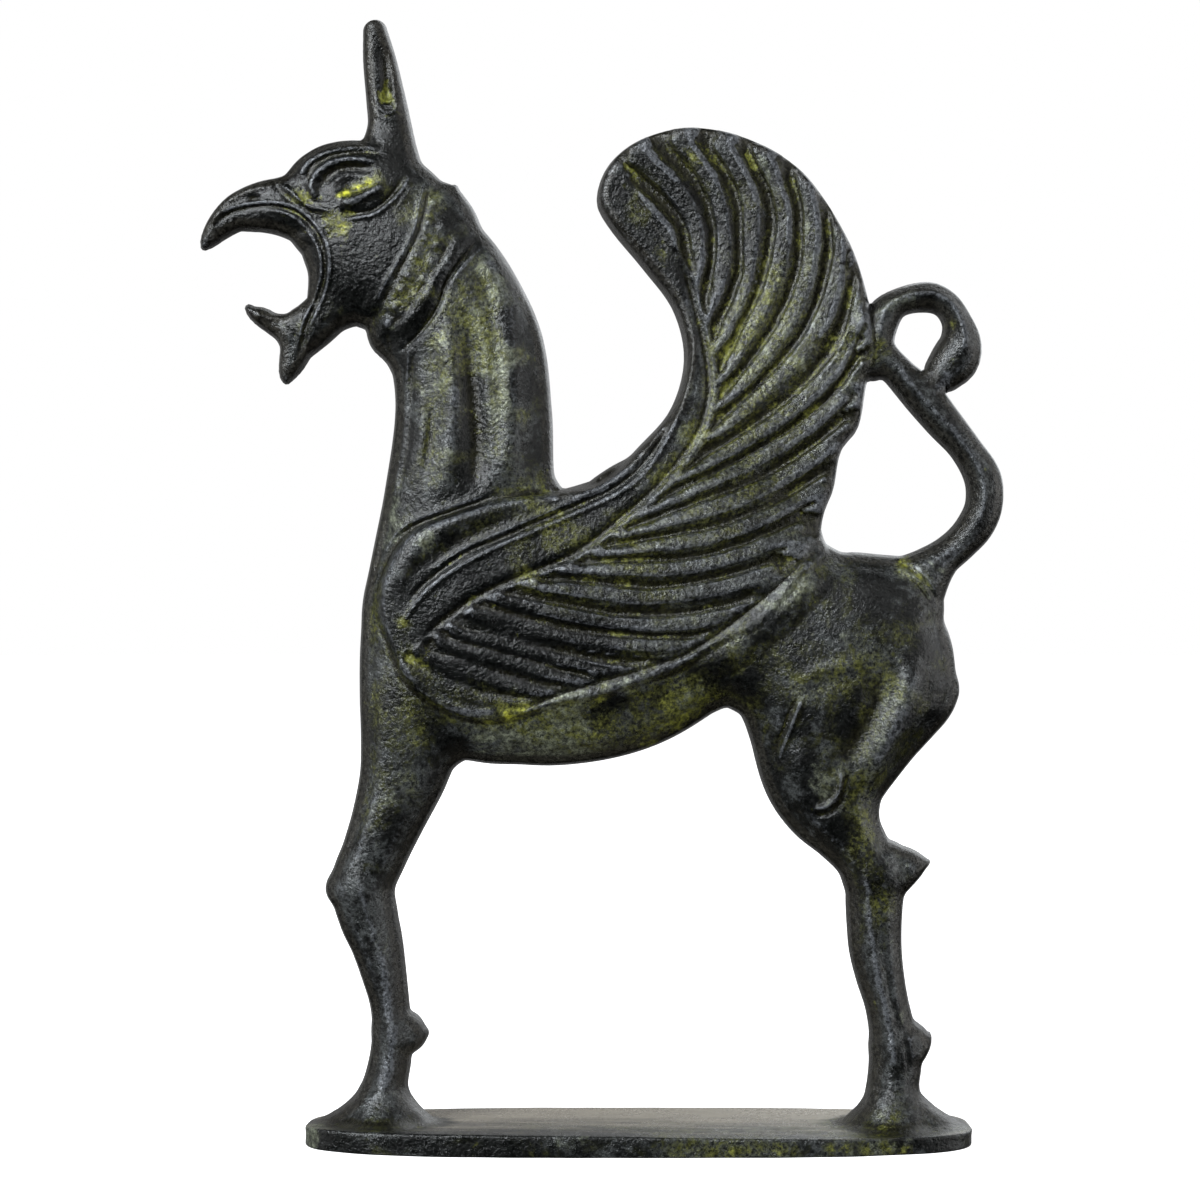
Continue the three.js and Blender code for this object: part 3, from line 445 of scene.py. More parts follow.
# Where the green patina sits thick, and below zero where it is thin: across, up, radius, amount
PATINA_PATCHES = (
    (-34, 354, 20, 0.3), (-57, 349, 14, 0.25), (-118, 371, 7, 0.8), (-102, 375, 7, 0.8),
    (-134, 367, 6, 0.6), (80, -9, 6, 0.75), (94, -9, 5, 0.5), (121, -9, 5, 0.8), (137, -9, 5, 0.4),
    (166, -9, 5, 0.7), (179, -9, 5, 0.7), (198, -9, 5, 0.4), (218, -9, 6, 0.8), (235, -9, 5, 0.8),
    (-268, 834, 4, 1.1), (-261, 837, 5, 1.3), (-251, 842, 5, 1.3), (-242, 846, 5, 1.2),
    (-235, 848, 5, 0.6), (-297, 831, 9, 0.5), (-274, 816, 8, 0.4), (-261, 807, 9, 0.5),
    (-306, 841, 7, 0.3), (-259, 826, 7, 0.35), (-205, 822, 7, 0.1), (146, 402, 6, 0.3),
    (160, 409, 5, 0.35), (179, 416, 5, 0.3), (193, 416, 5, 0.25), (56, 384, 25, 0.45),
    (27, 352, 24, 0.4), (1, 334, 18, 0.3), (110, 366, 11, 0.1), (191, 298, 13, 0.3),
    (202, 266, 14, 0.35), (206, 234, 14, 0.3), (15, 867, 11, 0.2), (28, 745, 13, 0.2),
    (47, 863, 8, 0.3), (110, 718, 16, 0.2), (74, 682, 20, 0.2), (137, 655, 20, 0.2),
    (182, 709, 13, 0.2), (-71, 546, 14, 0.25), (191, 510, 13, 0.25), (218, 203, 18, 0.35),
    (241, 230, 13, 0.35), (209, 112, 13, 0.3), (218, 58, 11, 0.3), (-279, 221, 13, 0.1),
    (-169, 384, 13, 0.2), (-188, 411, 14, 0.3), (-234, 927, 6, 0.5), (-222, 923, 5, 0.45),
    (-217, 913, 6, 0.6), (-226, 906, 5, 0.4), (-226, 917, 4, -0.5), (-265, 799, 11, 0.4),
    (-241, 718, 7, 0.4), (-187, 793, 7, 0.4), (-194, 774, 8, 0.4), (-201, 756, 8, 0.35),
    (-212, 742, 7, 0.3), (-145, 691, 11, 0.4), (-103, 637, 8, 0.45), (-104, 693, 9, 0.4),
    (-118, 736, 10, 0.3), (-220, 573, 9, 0.4), (-85, 581, 14, 0.45), (-238, 510, 9, 0.25),
    (-239, 451, 13, 0.35), (-241, 384, 13, 0.3), (-209, 454, 7, 0.8), (-201, 467, 6, 0.6),
    (-205, 420, 16, 0.35), (45, 616, 7, 0.6), (30, 598, 8, 0.6), (15, 581, 8, 0.5),
    (-19, 537, 14, 0.4), (-35, 499, 14, 0.35), (-98, 489, 11, 0.4), (-71, 474, 13, 0.3),
    (-17, 429, 13, 0.25), (-26, 465, 13, 0.25), (-112, 373, 14, 0.5), (-35, 391, 11, 0.3),
    (30, 373, 25, 0.35), (6, 346, 20, 0.3), (-35, 343, 18, 0.2), (56, 872, 9, 0.4),
    (19, 774, 11, 0.35), (1, 799, 13, 0.1), (-12, 849, 11, 0.2), (160, 803, 6, 0.4),
    (117, 795, 9, 0.25), (182, 768, 9, 0.25), (236, 340, 14, 0.3), (216, 316, 12, 0.35),
    (198, 280, 11, 0.4), (198, 253, 11, 0.4), (99, 725, 25, 0.28), (141, 689, 25, 0.28),
    (72, 698, 20, 0.28), (117, 758, 18, 0.22), (90, 653, 24, 0.25), (56, 626, 16, 0.22),
    (146, 633, 20, 0.2), (53, 870, 11, 0.35), (-9, 819, 14, 0.28), (10, 785, 11, 0.22),
    (-69, 528, 16, 0.3), (-105, 498, 14, 0.3), (-6, 510, 18, 0.22), (56, 546, 20, 0.22),
    (1, 476, 16, 0.18), (-271, 807, 13, 0.4), (-281, 818, 9, 0.3), (-262, 785, 9, 0.3),
    (-306, 831, 11, 0.25), (-226, 925, 9, 0.55), (259, 490, 12, 0.4), (241, 505, 11, 0.45),
    (281, 721, 7, 0.5), (284, 686, 8, 0.35), (313, 592, 7, 0.55), (236, 505, 8, 0.5),
    (251, 495, 7, 0.4), (227, 705, 11, 0.3), (298, 517, 7, 0.25), (56, -32, 36, 0.25),
    (200, -32, 45, 0.25), (-143, -32, 36, 0.1),
)

# Patches of near-black patina and of painted shade, and below zero patches of pale patina and of
# painted highlight: across, up, radius, amount
TONE_AND_PAINTED_LIGHT_PATCHES = (
    (-125, 501, 36, 0.25), (-179, 474, 27, 0.25), (10, 836, 41, 0.15), (74, 781, 36, 0.1),
    (-351, 831, 27, 0.2), (-279, 831, 18, 0.15), (-243, 881, 18, 0.2), (-151, 668, 8, 0.9),
    (-151, 655, 7, 0.8), (-147, 632, 7, 0.9), (-149, 614, 6, 0.5), (-151, 587, 9, 1),
    (-145, 573, 8, 0.9), (-104, 668, 10, 0.8), (-102, 657, 7, 0.6), (-117, 725, 8, 0.7),
    (-113, 714, 7, 0.6), (-201, 619, 7, 0.8), (-204, 605, 6, 0.7), (-245, 962, 6, 0.8),
    (-244, 944, 6, 0.8), (-242, 926, 6, 0.7), (-240, 908, 6, 0.5), (-229, 976, 13, 0.4),
    (-306, 822, 54, 0.2), (-261, 745, 45, 0.15), (-229, 881, 24, 0.3), (-143, 483, 41, 0.2),
    (-198, 456, 27, 0.2), (-71, 564, 27, 0.2), (-161, 420, 45, 0.25), (-89, 402, 45, 0.2),
    (-17, 420, 36, 0.1), (56, 836, 54, 0.1), (-306, 836, 54, 0.15), (-243, 786, 41, 0.12),
    (-228, 944, 36, 0.25), (19, 845, 45, 0.2), (110, 781, 45, 0.12), (56, 745, 45, 0.12),
    (-143, 474, 45, 0.15), (-170, 546, 27, 0.1), (-71, 347, 36, -0.1), (1, 343, 27, -0.15),
    (56, 384, 18, -0.1), (-261, 40, 18, 0.2), (-246, 149, 13, 0.15), (-237, 962, 7, 0.3),
    (-241, 940, 7, 0.3), (-207, 592, 8, 0.25), (-208, 564, 8, 0.2), (-206, 632, 8, 0.25),
    (-202, 700, 8, 0.2), (-152, -9, 22, 0.35), (-116, -9, 18, 0.25), (-265, -9, 22, 0.3),
    (-225, -9, 22, 0.3), (-188, -9, 22, 0.25), (128, 429, 25, 0.15), (182, 465, 24, 0.15),
    (92, 393, 20, 0.15), (218, 465, 20, 0.15), (241, 420, 11, 0.3), (173, 366, 14, 0.2),
    (-265, 248, 13, 0.2), (-246, 962, 8, 0.4), (-245, 944, 8, 0.4), (-242, 926, 7, 0.35),
    (-235, 976, 9, 0.2), (-306, 836, 45, 0.1), (-243, 836, 41, 0.1), (-243, 763, 41, 0.1),
    (-261, -3, 23, 0.2), (-198, -3, 27, 0.2), (236, -3, 27, 0.15), (264, -3, 18, 0.2),
    (-202, 655, 8, 0.25), (-202, 682, 8, 0.2), (-204, 619, 8, 0.2), (1, 366, 16, -0.12),
    (164, 438, 27, 0.1), (137, 474, 9, -0.05), (-71, 438, 27, 0.15), (-35, 420, 27, 0.15),
    (-179, 438, 16, -0.1), (320, 584, 6, 0.5), (320, 566, 7, 0.6), (318, 551, 7, 0.55),
    (308, 536, 6, 0.45), (296, 523, 6, 0.3), (271, 651, 7, 0.35), (282, 637, 7, 0.45),
    (291, 622, 6, 0.3), (223, 738, 10, -0.3), (241, 745, 8, -0.15), (259, 745, 11, 0.35),
    (286, 700, 8, 0.25), (-229, 899, 8, 0.35), (-223, 885, 9, 0.35), (-356, 816, 9, -0.25),
    (-329, 816, 9, -0.25), (-304, 798, 8, -0.25), (-335, 837, 9, 0.2), (-24, 380, 13, 0.3),
    (-160, 343, 11, 0.3), (-98, 346, 20, -0.15), (-134, 346, 16, -0.12), (-71, 364, 16, -0.12),
    (-85, 375, 7, -0.4), (-66, 381, 7, -0.4), (-48, 386, 7, -0.4), (-30, 392, 7, -0.4),
    (-12, 396, 7, -0.35), (6, 402, 7, -0.35), (-261, -9, 27, -0.1), (-207, -9, 36, -0.2),
    (-116, -9, 27, 0.15), (-62, -9, 27, 0.15), (10, -9, 36, 0.1), (191, -9, 36, -0.05),
    (-147, 655, 9, 0.4), (-145, 632, 9, 0.5), (-141, 578, 11, 0.5), (-134, 682, 13, -0.4),
    (-139, 714, 13, -0.4), (-118, 668, 11, -0.4), (-148, 727, 11, -0.3), (-125, 628, 10, -0.2),
    (-121, 596, 10, -0.2), (-152, 474, 18, 0.25), (-125, 488, 14, 0.25), (-85, 510, 13, 0.2),
    (-198, 474, 13, 0.25), (-229, 807, 14, 0.4), (-247, 861, 11, 0.5), (-274, 846, 8, 0.5),
    (-220, 858, 9, 0.4), (-261, 852, 7, 0.5), (-307, 841, 7, -0.3), (-254, 827, 6, -0.4),
    (-234, 839, 5, -0.3), (-151, 790, 8, 0.5), (-164, 775, 8, 0.5), (-176, 756, 8, 0.5),
    (-188, 735, 8, 0.5), (-203, 717, 8, 0.5), (-217, 706, 8, 0.4), (-279, 790, 24, 0.35),
    (-234, 780, 24, 0.35), (-270, 892, 18, 0.35), (-306, 872, 16, 0.3), (-220, 881, 14, 0.3),
    (-360, 836, 24, 0.3), (-324, 840, 16, 0.25), (-306, 718, 20, 0.3), (-306, 790, 11, 0.3),
    (-229, 971, 22, 0.3), (-222, 931, 13, 0.25), (-179, 474, 22, 0.4), (-207, 483, 13, 0.2),
    (-152, 497, 16, 0.35), (-35, 564, 16, 0.25), (10, 619, 13, 0.3), (-71, 438, 36, 0.25),
    (-17, 465, 27, 0.2), (-143, 420, 36, 0.25), (56, 474, 27, 0.15), (-3, 849, 18, 0.25),
    (-17, 808, 14, 0.25), (209, 438, 13, 0.3), (264, 474, 11, 0.3), (230, 402, 11, -0.12),
    (227, 384, 10, -0.12), (209, 347, 9, -0.12), (-138, 780, 10, -0.3), (-132, 745, 12, -0.35),
    (-181, 583, 9, -0.2), (-179, 655, 11, -0.2), (-71, 497, 20, 0.35), (-107, 474, 16, 0.35),
    (-134, 438, 24, 0.4), (-170, 429, 22, 0.4), (-98, 429, 22, 0.35), (-152, 393, 18, 0.3),
    (-44, 438, 24, 0.25), (-143, 510, 11, 0.3), (-107, 537, 11, 0.35), (10, 799, 14, 0.3),
    (-17, 845, 13, 0.3), (-252, 808, 13, 0.3), (-279, 808, 13, 0.3), (-265, 754, 13, 0.25),
    (-216, 780, 13, 0.2), (-250, 727, 11, 0.25), (209, 501, 18, 0.3), (146, 329, 16, 0.35),
    (137, 357, 11, 0.3), (173, 266, 14, 0.3), (56, 420, 20, 0.35), (19, 384, 14, 0.3),
    (-145, 666, 10, 0.5), (-143, 621, 10, 0.5), (-141, 587, 11, 0.5), (-150, 610, 11, 0.3),
    (-109, 712, 10, 0.5), (-100, 664, 11, 0.5), (-203, 619, 7, 0.4), (-94, 610, 13, 0.3),
    (-152, 572, 13, 0.3), (-170, 813, 9, 0.5), (-163, 790, 11, 0.35), (-179, 759, 10, 0.3),
    (-198, 723, 11, 0.3), (-243, 798, 14, 0.45), (-259, 783, 14, 0.35), (-223, 807, 8, 0.3),
    (-238, 752, 14, 0.25), (-211, 879, 13, 0.35), (-220, 949, 8, 0.3), (-241, 962, 8, 0.3),
    (-374, 813, 14, 0.3), (-306, 759, 13, 0.2), (-166, 524, 13, 0.2), (-132, 542, 13, 0.4),
    (-184, 499, 10, 0.35), (-125, 508, 14, 0.4), (-89, 521, 14, 0.3), (-163, 481, 13, 0.4),
    (-188, 459, 11, 0.3), (-53, 546, 13, 0.3), (-15, 562, 13, 0.3), (-220, 384, 14, 0.45),
    (-199, 386, 12, 0.4), (-187, 364, 13, 0.4), (-169, 349, 13, 0.3), (-234, 352, 11, 0.3),
    (-121, 393, 11, 0.4), (-96, 393, 11, 0.3), (264, 438, 10, 0.6), (271, 404, 9, 0.6),
    (264, 373, 9, 0.5), (242, 462, 9, 0.5), (200, 474, 14, 0.4), (169, 481, 9, 0.4),
    (187, 384, 14, 0.4), (191, 359, 12, 0.4), (148, 369, 12, 0.35), (182, 300, 11, 0.4),
    (148, 291, 14, 0.4), (169, 264, 14, 0.3), (70, 401, 14, 0.5), (94, 393, 12, 0.5),
    (-17, 384, 12, 0.5), (-37, 372, 10, 0.5), (38, 858, 14, 0.3), (10, 863, 13, 0.3),
    (56, 885, 11, 0.2), (214, 221, 16, 0.3), (227, 58, 18, 0.25), (-238, 112, 18, 0.2),
    (-216, 275, 18, 0.25), (-139, 772, 13, -0.4), (-125, 691, 14, -0.5), (-121, 650, 12, -0.5),
    (-178, 705, 9, -0.5), (-173, 668, 8, -0.4), (-169, 604, 8, -0.6), (-183, 833, 7, -0.6),
    (-188, 524, 12, -0.5), (-207, 497, 9, -0.5), (-160, 537, 11, -0.4), (-98, 564, 13, -0.4),
    (-3, 884, 8, -0.6), (-23, 861, 7, -0.6), (-28, 825, 7, -0.5), (96, 736, 18, -0.15),
    (121, 754, 14, -0.15), (74, 705, 14, -0.2), (146, 718, 18, -0.15), (110, 682, 23, -0.25),
    (83, 632, 20, -0.25), (48, 619, 14, -0.25), (173, 655, 18, -0.3), (38, 560, 18, -0.2),
    (119, 472, 13, -0.05), (146, 492, 13, -0.05), (85, 438, 12, -0.3), (-17, 394, 13, -0.3),
    (-62, 382, 11, -0.3), (223, 384, 11, -0.1), (232, 239, 13, -0.2), (-274, 849, 31, 0.16),
    (-306, 799, 31, 0.14), (-241, 822, 27, 0.14), (-265, 768, 24, 0.14), (-239, 953, 14, 0.35),
    (-235, 917, 14, 0.3), (-222, 967, 9, 0.3), (-227, 989, 11, 0.25), (-134, 510, 45, 0.14),
    (-53, 546, 36, 0.12), (-193, 501, 25, 0.12), (-71, 358, 45, -0.14), (-143, 352, 33, -0.14),
    (1, 352, 40, -0.14), (182, 438, 45, -0.06), (74, 790, 63, 0.08), (15, 822, 41, 0.08),
    (-170, -25, 13, -0.2), (-107, -25, 13, -0.2), (-44, -25, 13, -0.2), (56, -25, 13, -0.2),
    (-232, 808, 12, -0.3), (-250, 763, 14, 0.3), (-261, 780, 9, -0.12), (-238, 785, 7, 0.25),
    (-220, 768, 8, -0.2), (-107, 427, 31, 0.2), (-57, 413, 25, 0.18), (-166, 438, 16, 0.2),
    (227, 393, 13, -0.25), (211, 358, 11, -0.22), (202, 337, 8, -0.15), (-238, 940, 11, 0.3),
    (-230, 962, 9, 0.25), (74, 790, 54, 0.08), (-283, 845, 36, 0.32), (-259, 756, 25, 0.3),
    (-241, 816, 24, 0.22), (-306, 808, 22, 0.25), (-241, 951, 13, 0.35), (-234, 908, 14, 0.35),
    (-225, 881, 14, 0.3), (-26, 836, 24, 0.2), (-71, 510, 36, 0.14), (-170, 528, 24, 0.14),
)

# The flat outline and the skin's sections, in millimetres. A limb has no say in the outline
# farther out than its reach. The outline is traced down to a cut below the plinth's top.
BLEND_REACH = 4.0
CROTCH_FILLET = 0.5
EDGE_ROUNDING = 2
EDGE_SQUARENESS = 2.4
FOOT_SQUARENESS = 2.2
MUSCLE_BLEND = 1.6
CUT_DEPTH = 1.1
CUT_MARGIN = 0.2

# The feet get thicker towards the plinth, by a share that falls off over a height.
FOOT_SPREAD = 0.6
FOOT_SPREAD_HEIGHT = 3

# The skin rises from the outline at no more than a slope, which opens out low on the feet.
BEVEL_START = 2
BEVEL_SLOPE = 1.2
BEVEL_SOFTNESS = 0.6
FOOT_FLARE_HEIGHT = 6
FOOT_FLARE_SLOPE = 1.2

# The wing gets thinner between two distances from the shoulder and lies on the body as a layer.
# Where it is worn faint, the layer loses a share of its height.
WING_TAPER = (25, 80)
WING_EDGE_ROUNDING = 1.6
WING_BLEND = 2.5
WING_LAYER = 0.7
WING_LAYER_EDGE = (0, 1)
WORN_LAYER_SHARE = 0.7

# Between which distances from the outline the carving sets in, and how far its lines have
# faded in at the ends of their courses
CARVING_EDGE = (0, 1.2)
CARVING_HEAD_START = 0.2

# Slight waves of a hand-finished pattern: rise and length in millimetres, and seed
HAND_WAVES = ((0.07, 5, 3), (0.03, 1, 9))
HAND_WAVES_EDGE = (0, 2)

# A feather's section in shares of its pitch: where its groove lies, where the feather rises out
# of it and drops to the next, and where its height grows from its upper edge's to the full one
FEATHER_SHIFT = 0.30
FEATHER_RISE = (0, 0.13)
FEATHER_DROP = (0.58, 0.94)
FEATHER_SWELL = (0.1, 0.55)
FEATHER_UPPER_EDGE = 0.75

# The plain band before the first feather: where it starts, in feathers, and its height
LEADING_BAND = (0.6, 0.7)
LEADING_BAND_HEIGHT = 0.85

# Over which pitches, and which distances from the tips, the arm and the lower cord, the feathers
# set in, and how high the bare wing stands beside them as a share of their depth
FEATHER_PITCH_FADE = (0.35, 2.0)
FEATHER_TIP_FADE = (0.2, 1.2)
FEATHER_ROOT_FADE = (0.3, 1.2)
FEATHER_FOOT_FADE = (0.1, 1.6)
BARE_WING_RISE = 0.1

# Over which distances a feather narrows to its root, by what shares of its pitch on either side,
# and how unevenly the roots end from feather to feather
FEATHER_ROOT_TAPER = (0.3, 4)
FEATHER_ROOT_NARROWING = (0.12, 0.14)
FEATHER_ROOT_SPREAD = 1.1
FEATHER_ROOT_TURN = 12.9

# How far and over what length the feathers' edges waver, and the seeds of that
FEATHER_WAVER = 0.22
WAVER_LENGTH = 3
WAVER_SEEDS = (21, 47)

# Where the wing is worn faint: across, up, radius and the share lost
FAINT_FEATHERS = (
    (123, 470, 14, 0.9), (103, 454, 14, 0.9), (81, 440, 13, 0.85), (61, 427, 11, 0.8),
    (146, 490, 12, 0.9), (198, 706, 6, 0.9), (191, 657, 5, 0.9), (-152, 409, 56, 0.8),
    (-187, 393, 27, 0.3), (-112, 454, 24, 0.5), (-85, 424, 33, 0.45), (-35, 438, 24, 0.25),
)

# The depths under a feather's middle level that count as groove and as slope in the finish, the
# heights over it that count as edge, and how much each counts as a hollow or a ridge. Grooves are
# darkened as painted shade, slopes as painted shade over olive patina, and edges lightened as a
# painted highlight
FURROW_DEPTHS = (0.12, 0.46)
SLOPE_DEPTHS = (-0.36, -0.05)
CREST_HEIGHTS = (0.44, 0.495)
FURROW_SHADE = 0.12
SLOPE_SHADE = 0.06
CREST_HIGHLIGHT_RUB = 0.5

# How far inside the outline the feathers still count in the finish
MARKED_INSET = 9

# The plinth, in millimetres. Its lower edge is softened by a share of what its upper one is, and
# its wall has rows of points at shares of its height.
PLINTH_SQUARENESS = 3.2
PLINTH_EDGE_SOFTENING = 0.5
PLINTH_EDGE_TURNS = 6
LOWER_EDGE_SHARE = 0.5
WALL_ROWS = (0.42, 0.58)
PLINTH_WEAR = 0.25
PLINTH_WEAR_LENGTH = 7
PLINTH_WEAR_HEIGHT = 2
PLINTH_TRACE_COUNT = 4000
PLINTH_STEP = 0.8
PLINTH_TOP_STEP = 1.1
UNDERSIDE_STEP = 3 * PLINTH_TOP_STEP

# The plinth's top rises to its front left corner: how far, over what shares of its half length and
# half depth, and up to what height the feet rise with it
PLINTH_LEAN = 0.9
LEAN_TO_LEFT = (-1, 0.5)
LEAN_TO_FRONT = (-0.4, 0.9)
LEAN_HEIGHTS = (0, 5)

# The soft corner between feet and plinth
FOOT_FILLET = 1.4
FILLET_PASSES = 10
FILLET_STRENGTH = 0.7

# How often the skin is evened out to find its fine and broad hollows, where its rim ends, and
# what share of the fine hollows is left out there
FINE_PASSES = 4
BROAD_PASSES = 40
RIM_BAND = (1.2, 2.6)
RIM_HOLLOW_LOSS = 0.8

# The plinth's top, rubbed and brightened by a painted reflection that grows towards the back: how
# near its level and how level a point has to be, where the brightening sets in beside the feet,
# and how much there is at the front and what is added to it at the back
TOP_HEIGHT = 0.3
TOP_LEVEL = 0.7
TOP_RUB_REFLECTION_EDGE = (0, 3.5)
FRONT_RUB_AND_REFLECTION = 0.12
BACK_PAINTED_REFLECTION = 0.82

# How finely courses are followed, in millimetres
LIMB_STEP = 0.8
FEATHER_STEP = 1.6
WING_EDGE_STEP = 1.5
STROKE_STEP = 0.8
OUTLINE_CELL = 0.4

# The rows of mesh points inside the outline: how far in, and how far apart. They stop where they
# come nearer than a share of that to the other rim or to the plinth.
RIM_ROWS = ((0.07, 0.3), (0.24, 0.3), (0.55, 0.34), (1, 0.36), (1.5, 0.38))
OTHER_RIM_SHARE = 0.8
PLINTH_SHARE = 0.5

# The rows of mesh points along the carved lines, in shares of their half width, for lines up to
# a half width, and along the feathers, in shares of their pitch
COURSE_STEP = 0.55
COURSE_ROOM = 0.25
BROADEST_ROWED = 1.3
STROKE_ROWS = (0, -0.4, 0.4, -0.8, 0.8)
FEATHER_ROWS = (0.23, 0.3, 0.37, 0.43, 0.86, 0.9, 0.98)

# The grids of mesh points between those rows, in shares of their step: how far apart their rows
# are, how high the first one is, how near they come to the rim's last row, and how near to any
# other point, on the figure and on the plinth
GRID_ROW_STEP = 0.866
FIRST_GRID_ROW = 0.35
GRID_RIM_ROOM = 0.2
GRID_ROOM = 0.72
PLINTH_GRID_ROOM = 0.6
# The box that has the head's finer grid: left, right, bottom and top. The wing's finer grid runs
# over its edge by so many millimetres.
HEAD_BOX = (-395, -140, 665, 1010)
WING_GRID_REACH = 0.8


def smooth_step(low, high, value):
    """A soft step from 0 to 1 between low and high."""
    share = np.clip((value - low) / (high - low), 0, 1)
    return share * share * (3 - 2 * share)


def bend_step(low, high, value):
    """A step from 0 to 1 that leaves 0 at a crisp edge and reaches 1 softly."""
    share = np.clip((value - low) / (high - low), 0, 1)
    return share * (1.6 - 0.6 * share * share)


def smooth_min(a, b, width):
    """The lower of two values, with their meeting rounded over a width."""
    share = np.maximum(width - np.abs(a - b), 0) / width
    return np.minimum(a, b) - share * share * width / 4


def smooth_max(a, b, width):
    """The higher of two values, with their meeting rounded over a width."""
    return -smooth_min(-a, -b, width)


def rounded_section(share, squareness):
    """How high a rounded section stands, from 0 on its rim to 1 at its middle."""
    share = np.clip(share, 0, 1)
    return (1 - share**squareness) ** (1 / squareness)


def curve_at(rows, knots, at):
    """Rows of a smooth curve through given rows that stand at the given knots."""
    slopes = np.empty_like(rows)
    slopes[1:-1] = (rows[2:] - rows[:-2]) / (knots[2:] - knots[:-2])[:, None]
    slopes[0] = (rows[1] - rows[0]) / (knots[1] - knots[0])
    slopes[-1] = (rows[-1] - rows[-2]) / (knots[-1] - knots[-2])
    span = np.clip(np.searchsorted(knots, at, side="right") - 1, 0, len(knots) - 2)
    width = (knots[span + 1] - knots[span])[:, None]
    t = (at - knots[span])[:, None] / width
    inner = (
        rows[span] * (2 * t**3 - 3 * t**2 + 1)
        + rows[span + 1] * (3 * t**2 - 2 * t**3)
        + slopes[span] * width * (t**3 - 2 * t**2 + t)
        + slopes[span + 1] * width * (t**3 - t**2)
    )
    before = rows[0] + slopes[0] * (at - knots[0])[:, None]
    after = rows[-1] + slopes[-1] * (at - knots[-1])[:, None]
    return np.where(t < 0, before, np.where(t > 1, after, inner))


def chord_knots(rows):
    """Running length along rows of points."""
    steps = np.hypot(*np.diff(rows[:, :2], axis=0).T)
    return np.concatenate([[0.0], np.cumsum(steps)])


def run_curve(rows, step):
    """A smooth curve through rows as a run of points about a step apart."""
    knots = chord_knots(rows)
    count = max(2, round(knots[-1] / step))
    return curve_at(rows, knots, np.linspace(0, knots[-1], count + 1))


def nearest_on_run(run, x, z):
    """For each place its distance to a run, how far along the nearest point is, and whether the
    place is on the left of the run's course."""
    knots = chord_knots(run)
    best = np.full(len(x), np.inf)
    along = np.zeros(len(x))
    is_left = np.zeros(len(x), bool)
    for (ax, az), (bx, bz), start in zip(run[:-1, :2], run[1:, :2], knots):
        dx, dz = bx - ax, bz - az
        length = math.hypot(dx, dz)
        t = np.clip(((x - ax) * dx + (z - az) * dz) / length**2, 0, 1)
        distance = np.hypot(x - ax - t * dx, z - az - t * dz)
        closer = distance < best
        best[closer] = distance[closer]
        along[closer] = start + t[closer] * length
        is_left[closer] = (dx * (z - az) - dz * (x - ax) > 0)[closer]
    return best, along, is_left


def is_inside(loop, x, z):
    """Whether each place is inside a closed loop."""
    inside = np.zeros(len(x), bool)
    for (ax, az), (bx, bz) in zip(loop, np.roll(loop, 1, axis=0)):
        if az == bz:
            continue
        crosses = ((az > z) != (bz > z)) & (x < (bx - ax) * (z - az) / (bz - az) + ax)
        inside ^= crosses
    return inside


def noise_at(x, z, length, seed):
    """Noise from -1 to 1 at each place, with features of a length."""
    return np.array([
        noise.noise(Vector((px / length, pz / length, seed))) for px, pz in zip(x, z)
    ])


def waver(x, z, reach):
    """Places moved a little to and fro, for lines that a hand has cut."""
    dx, dz = (noise_at(x, z, WAVER_LENGTH, seed) for seed in WAVER_SEEDS)
    return x + reach * dx, z + reach * dz


def near_box(run, reach, x, z):
    """Indices of the places within reach of a run's box."""
    left, bottom = run[:, 0].min() - reach, run[:, 1].min() - reach
    right, top = run[:, 0].max() + reach, run[:, 1].max() + reach
    return np.flatnonzero((x > left) & (x < right) & (z > bottom) & (z < top))


def inside_loops(loops, x, z):
    """Whether each place is inside an odd number of closed loops."""
    inside = np.zeros(len(x), bool)
    for loop in loops:
        near = near_box(loop, 0, x, z)
        inside[near] ^= is_inside(loop, x[near], z[near])
    return inside


def feather_courses(places):
    """The courses, tip to root, at places counted in feathers from the leading edge on."""
    keys = np.array(list(KEY_FEATHERS), float)
    rows = np.array([np.ravel(course) for course in KEY_FEATHERS.values()], float)
    return curve_at(rows, keys, places).reshape(len(places), -1, 2)


class Limb:
    """A run of round sections. Each point holds its place, radius and half thickness."""

    def __init__(self, stations, squareness, share, half_thickness):
        rows = np.array(stations, float) * [share, share, share, half_thickness / 100]
        self.run = run_curve(rows, LIMB_STEP)
        self.squareness = squareness
        self.reach = self.run[:, 2].max()

    def at(self, x, z):
        """How far each place is outside the limb, and how high the limb stands there."""
        outside = np.full(len(x), np.inf)
        best = np.full(len(x), np.inf)
        thickness = np.zeros(len(x))
        for a, b in zip(self.run[:-1], self.run[1:]):
            dx, dz = b[0] - a[0], b[1] - a[1]
            t = np.clip(((x - a[0]) * dx + (z - a[1]) * dz) / (dx * dx + dz * dz), 0, 1)
            distance = np.hypot(x - a[0] - t * dx, z - a[1] - t * dz)
            radius = a[2] + t * (b[2] - a[2])
            outside = np.minimum(outside, distance - radius)
            share = distance / radius
            closer = share < best
            best[closer] = share[closer]
            thickness[closer] = (a[3] + t * (b[3] - a[3]))[closer]
        return outside, thickness * rounded_section(best, self.squareness)


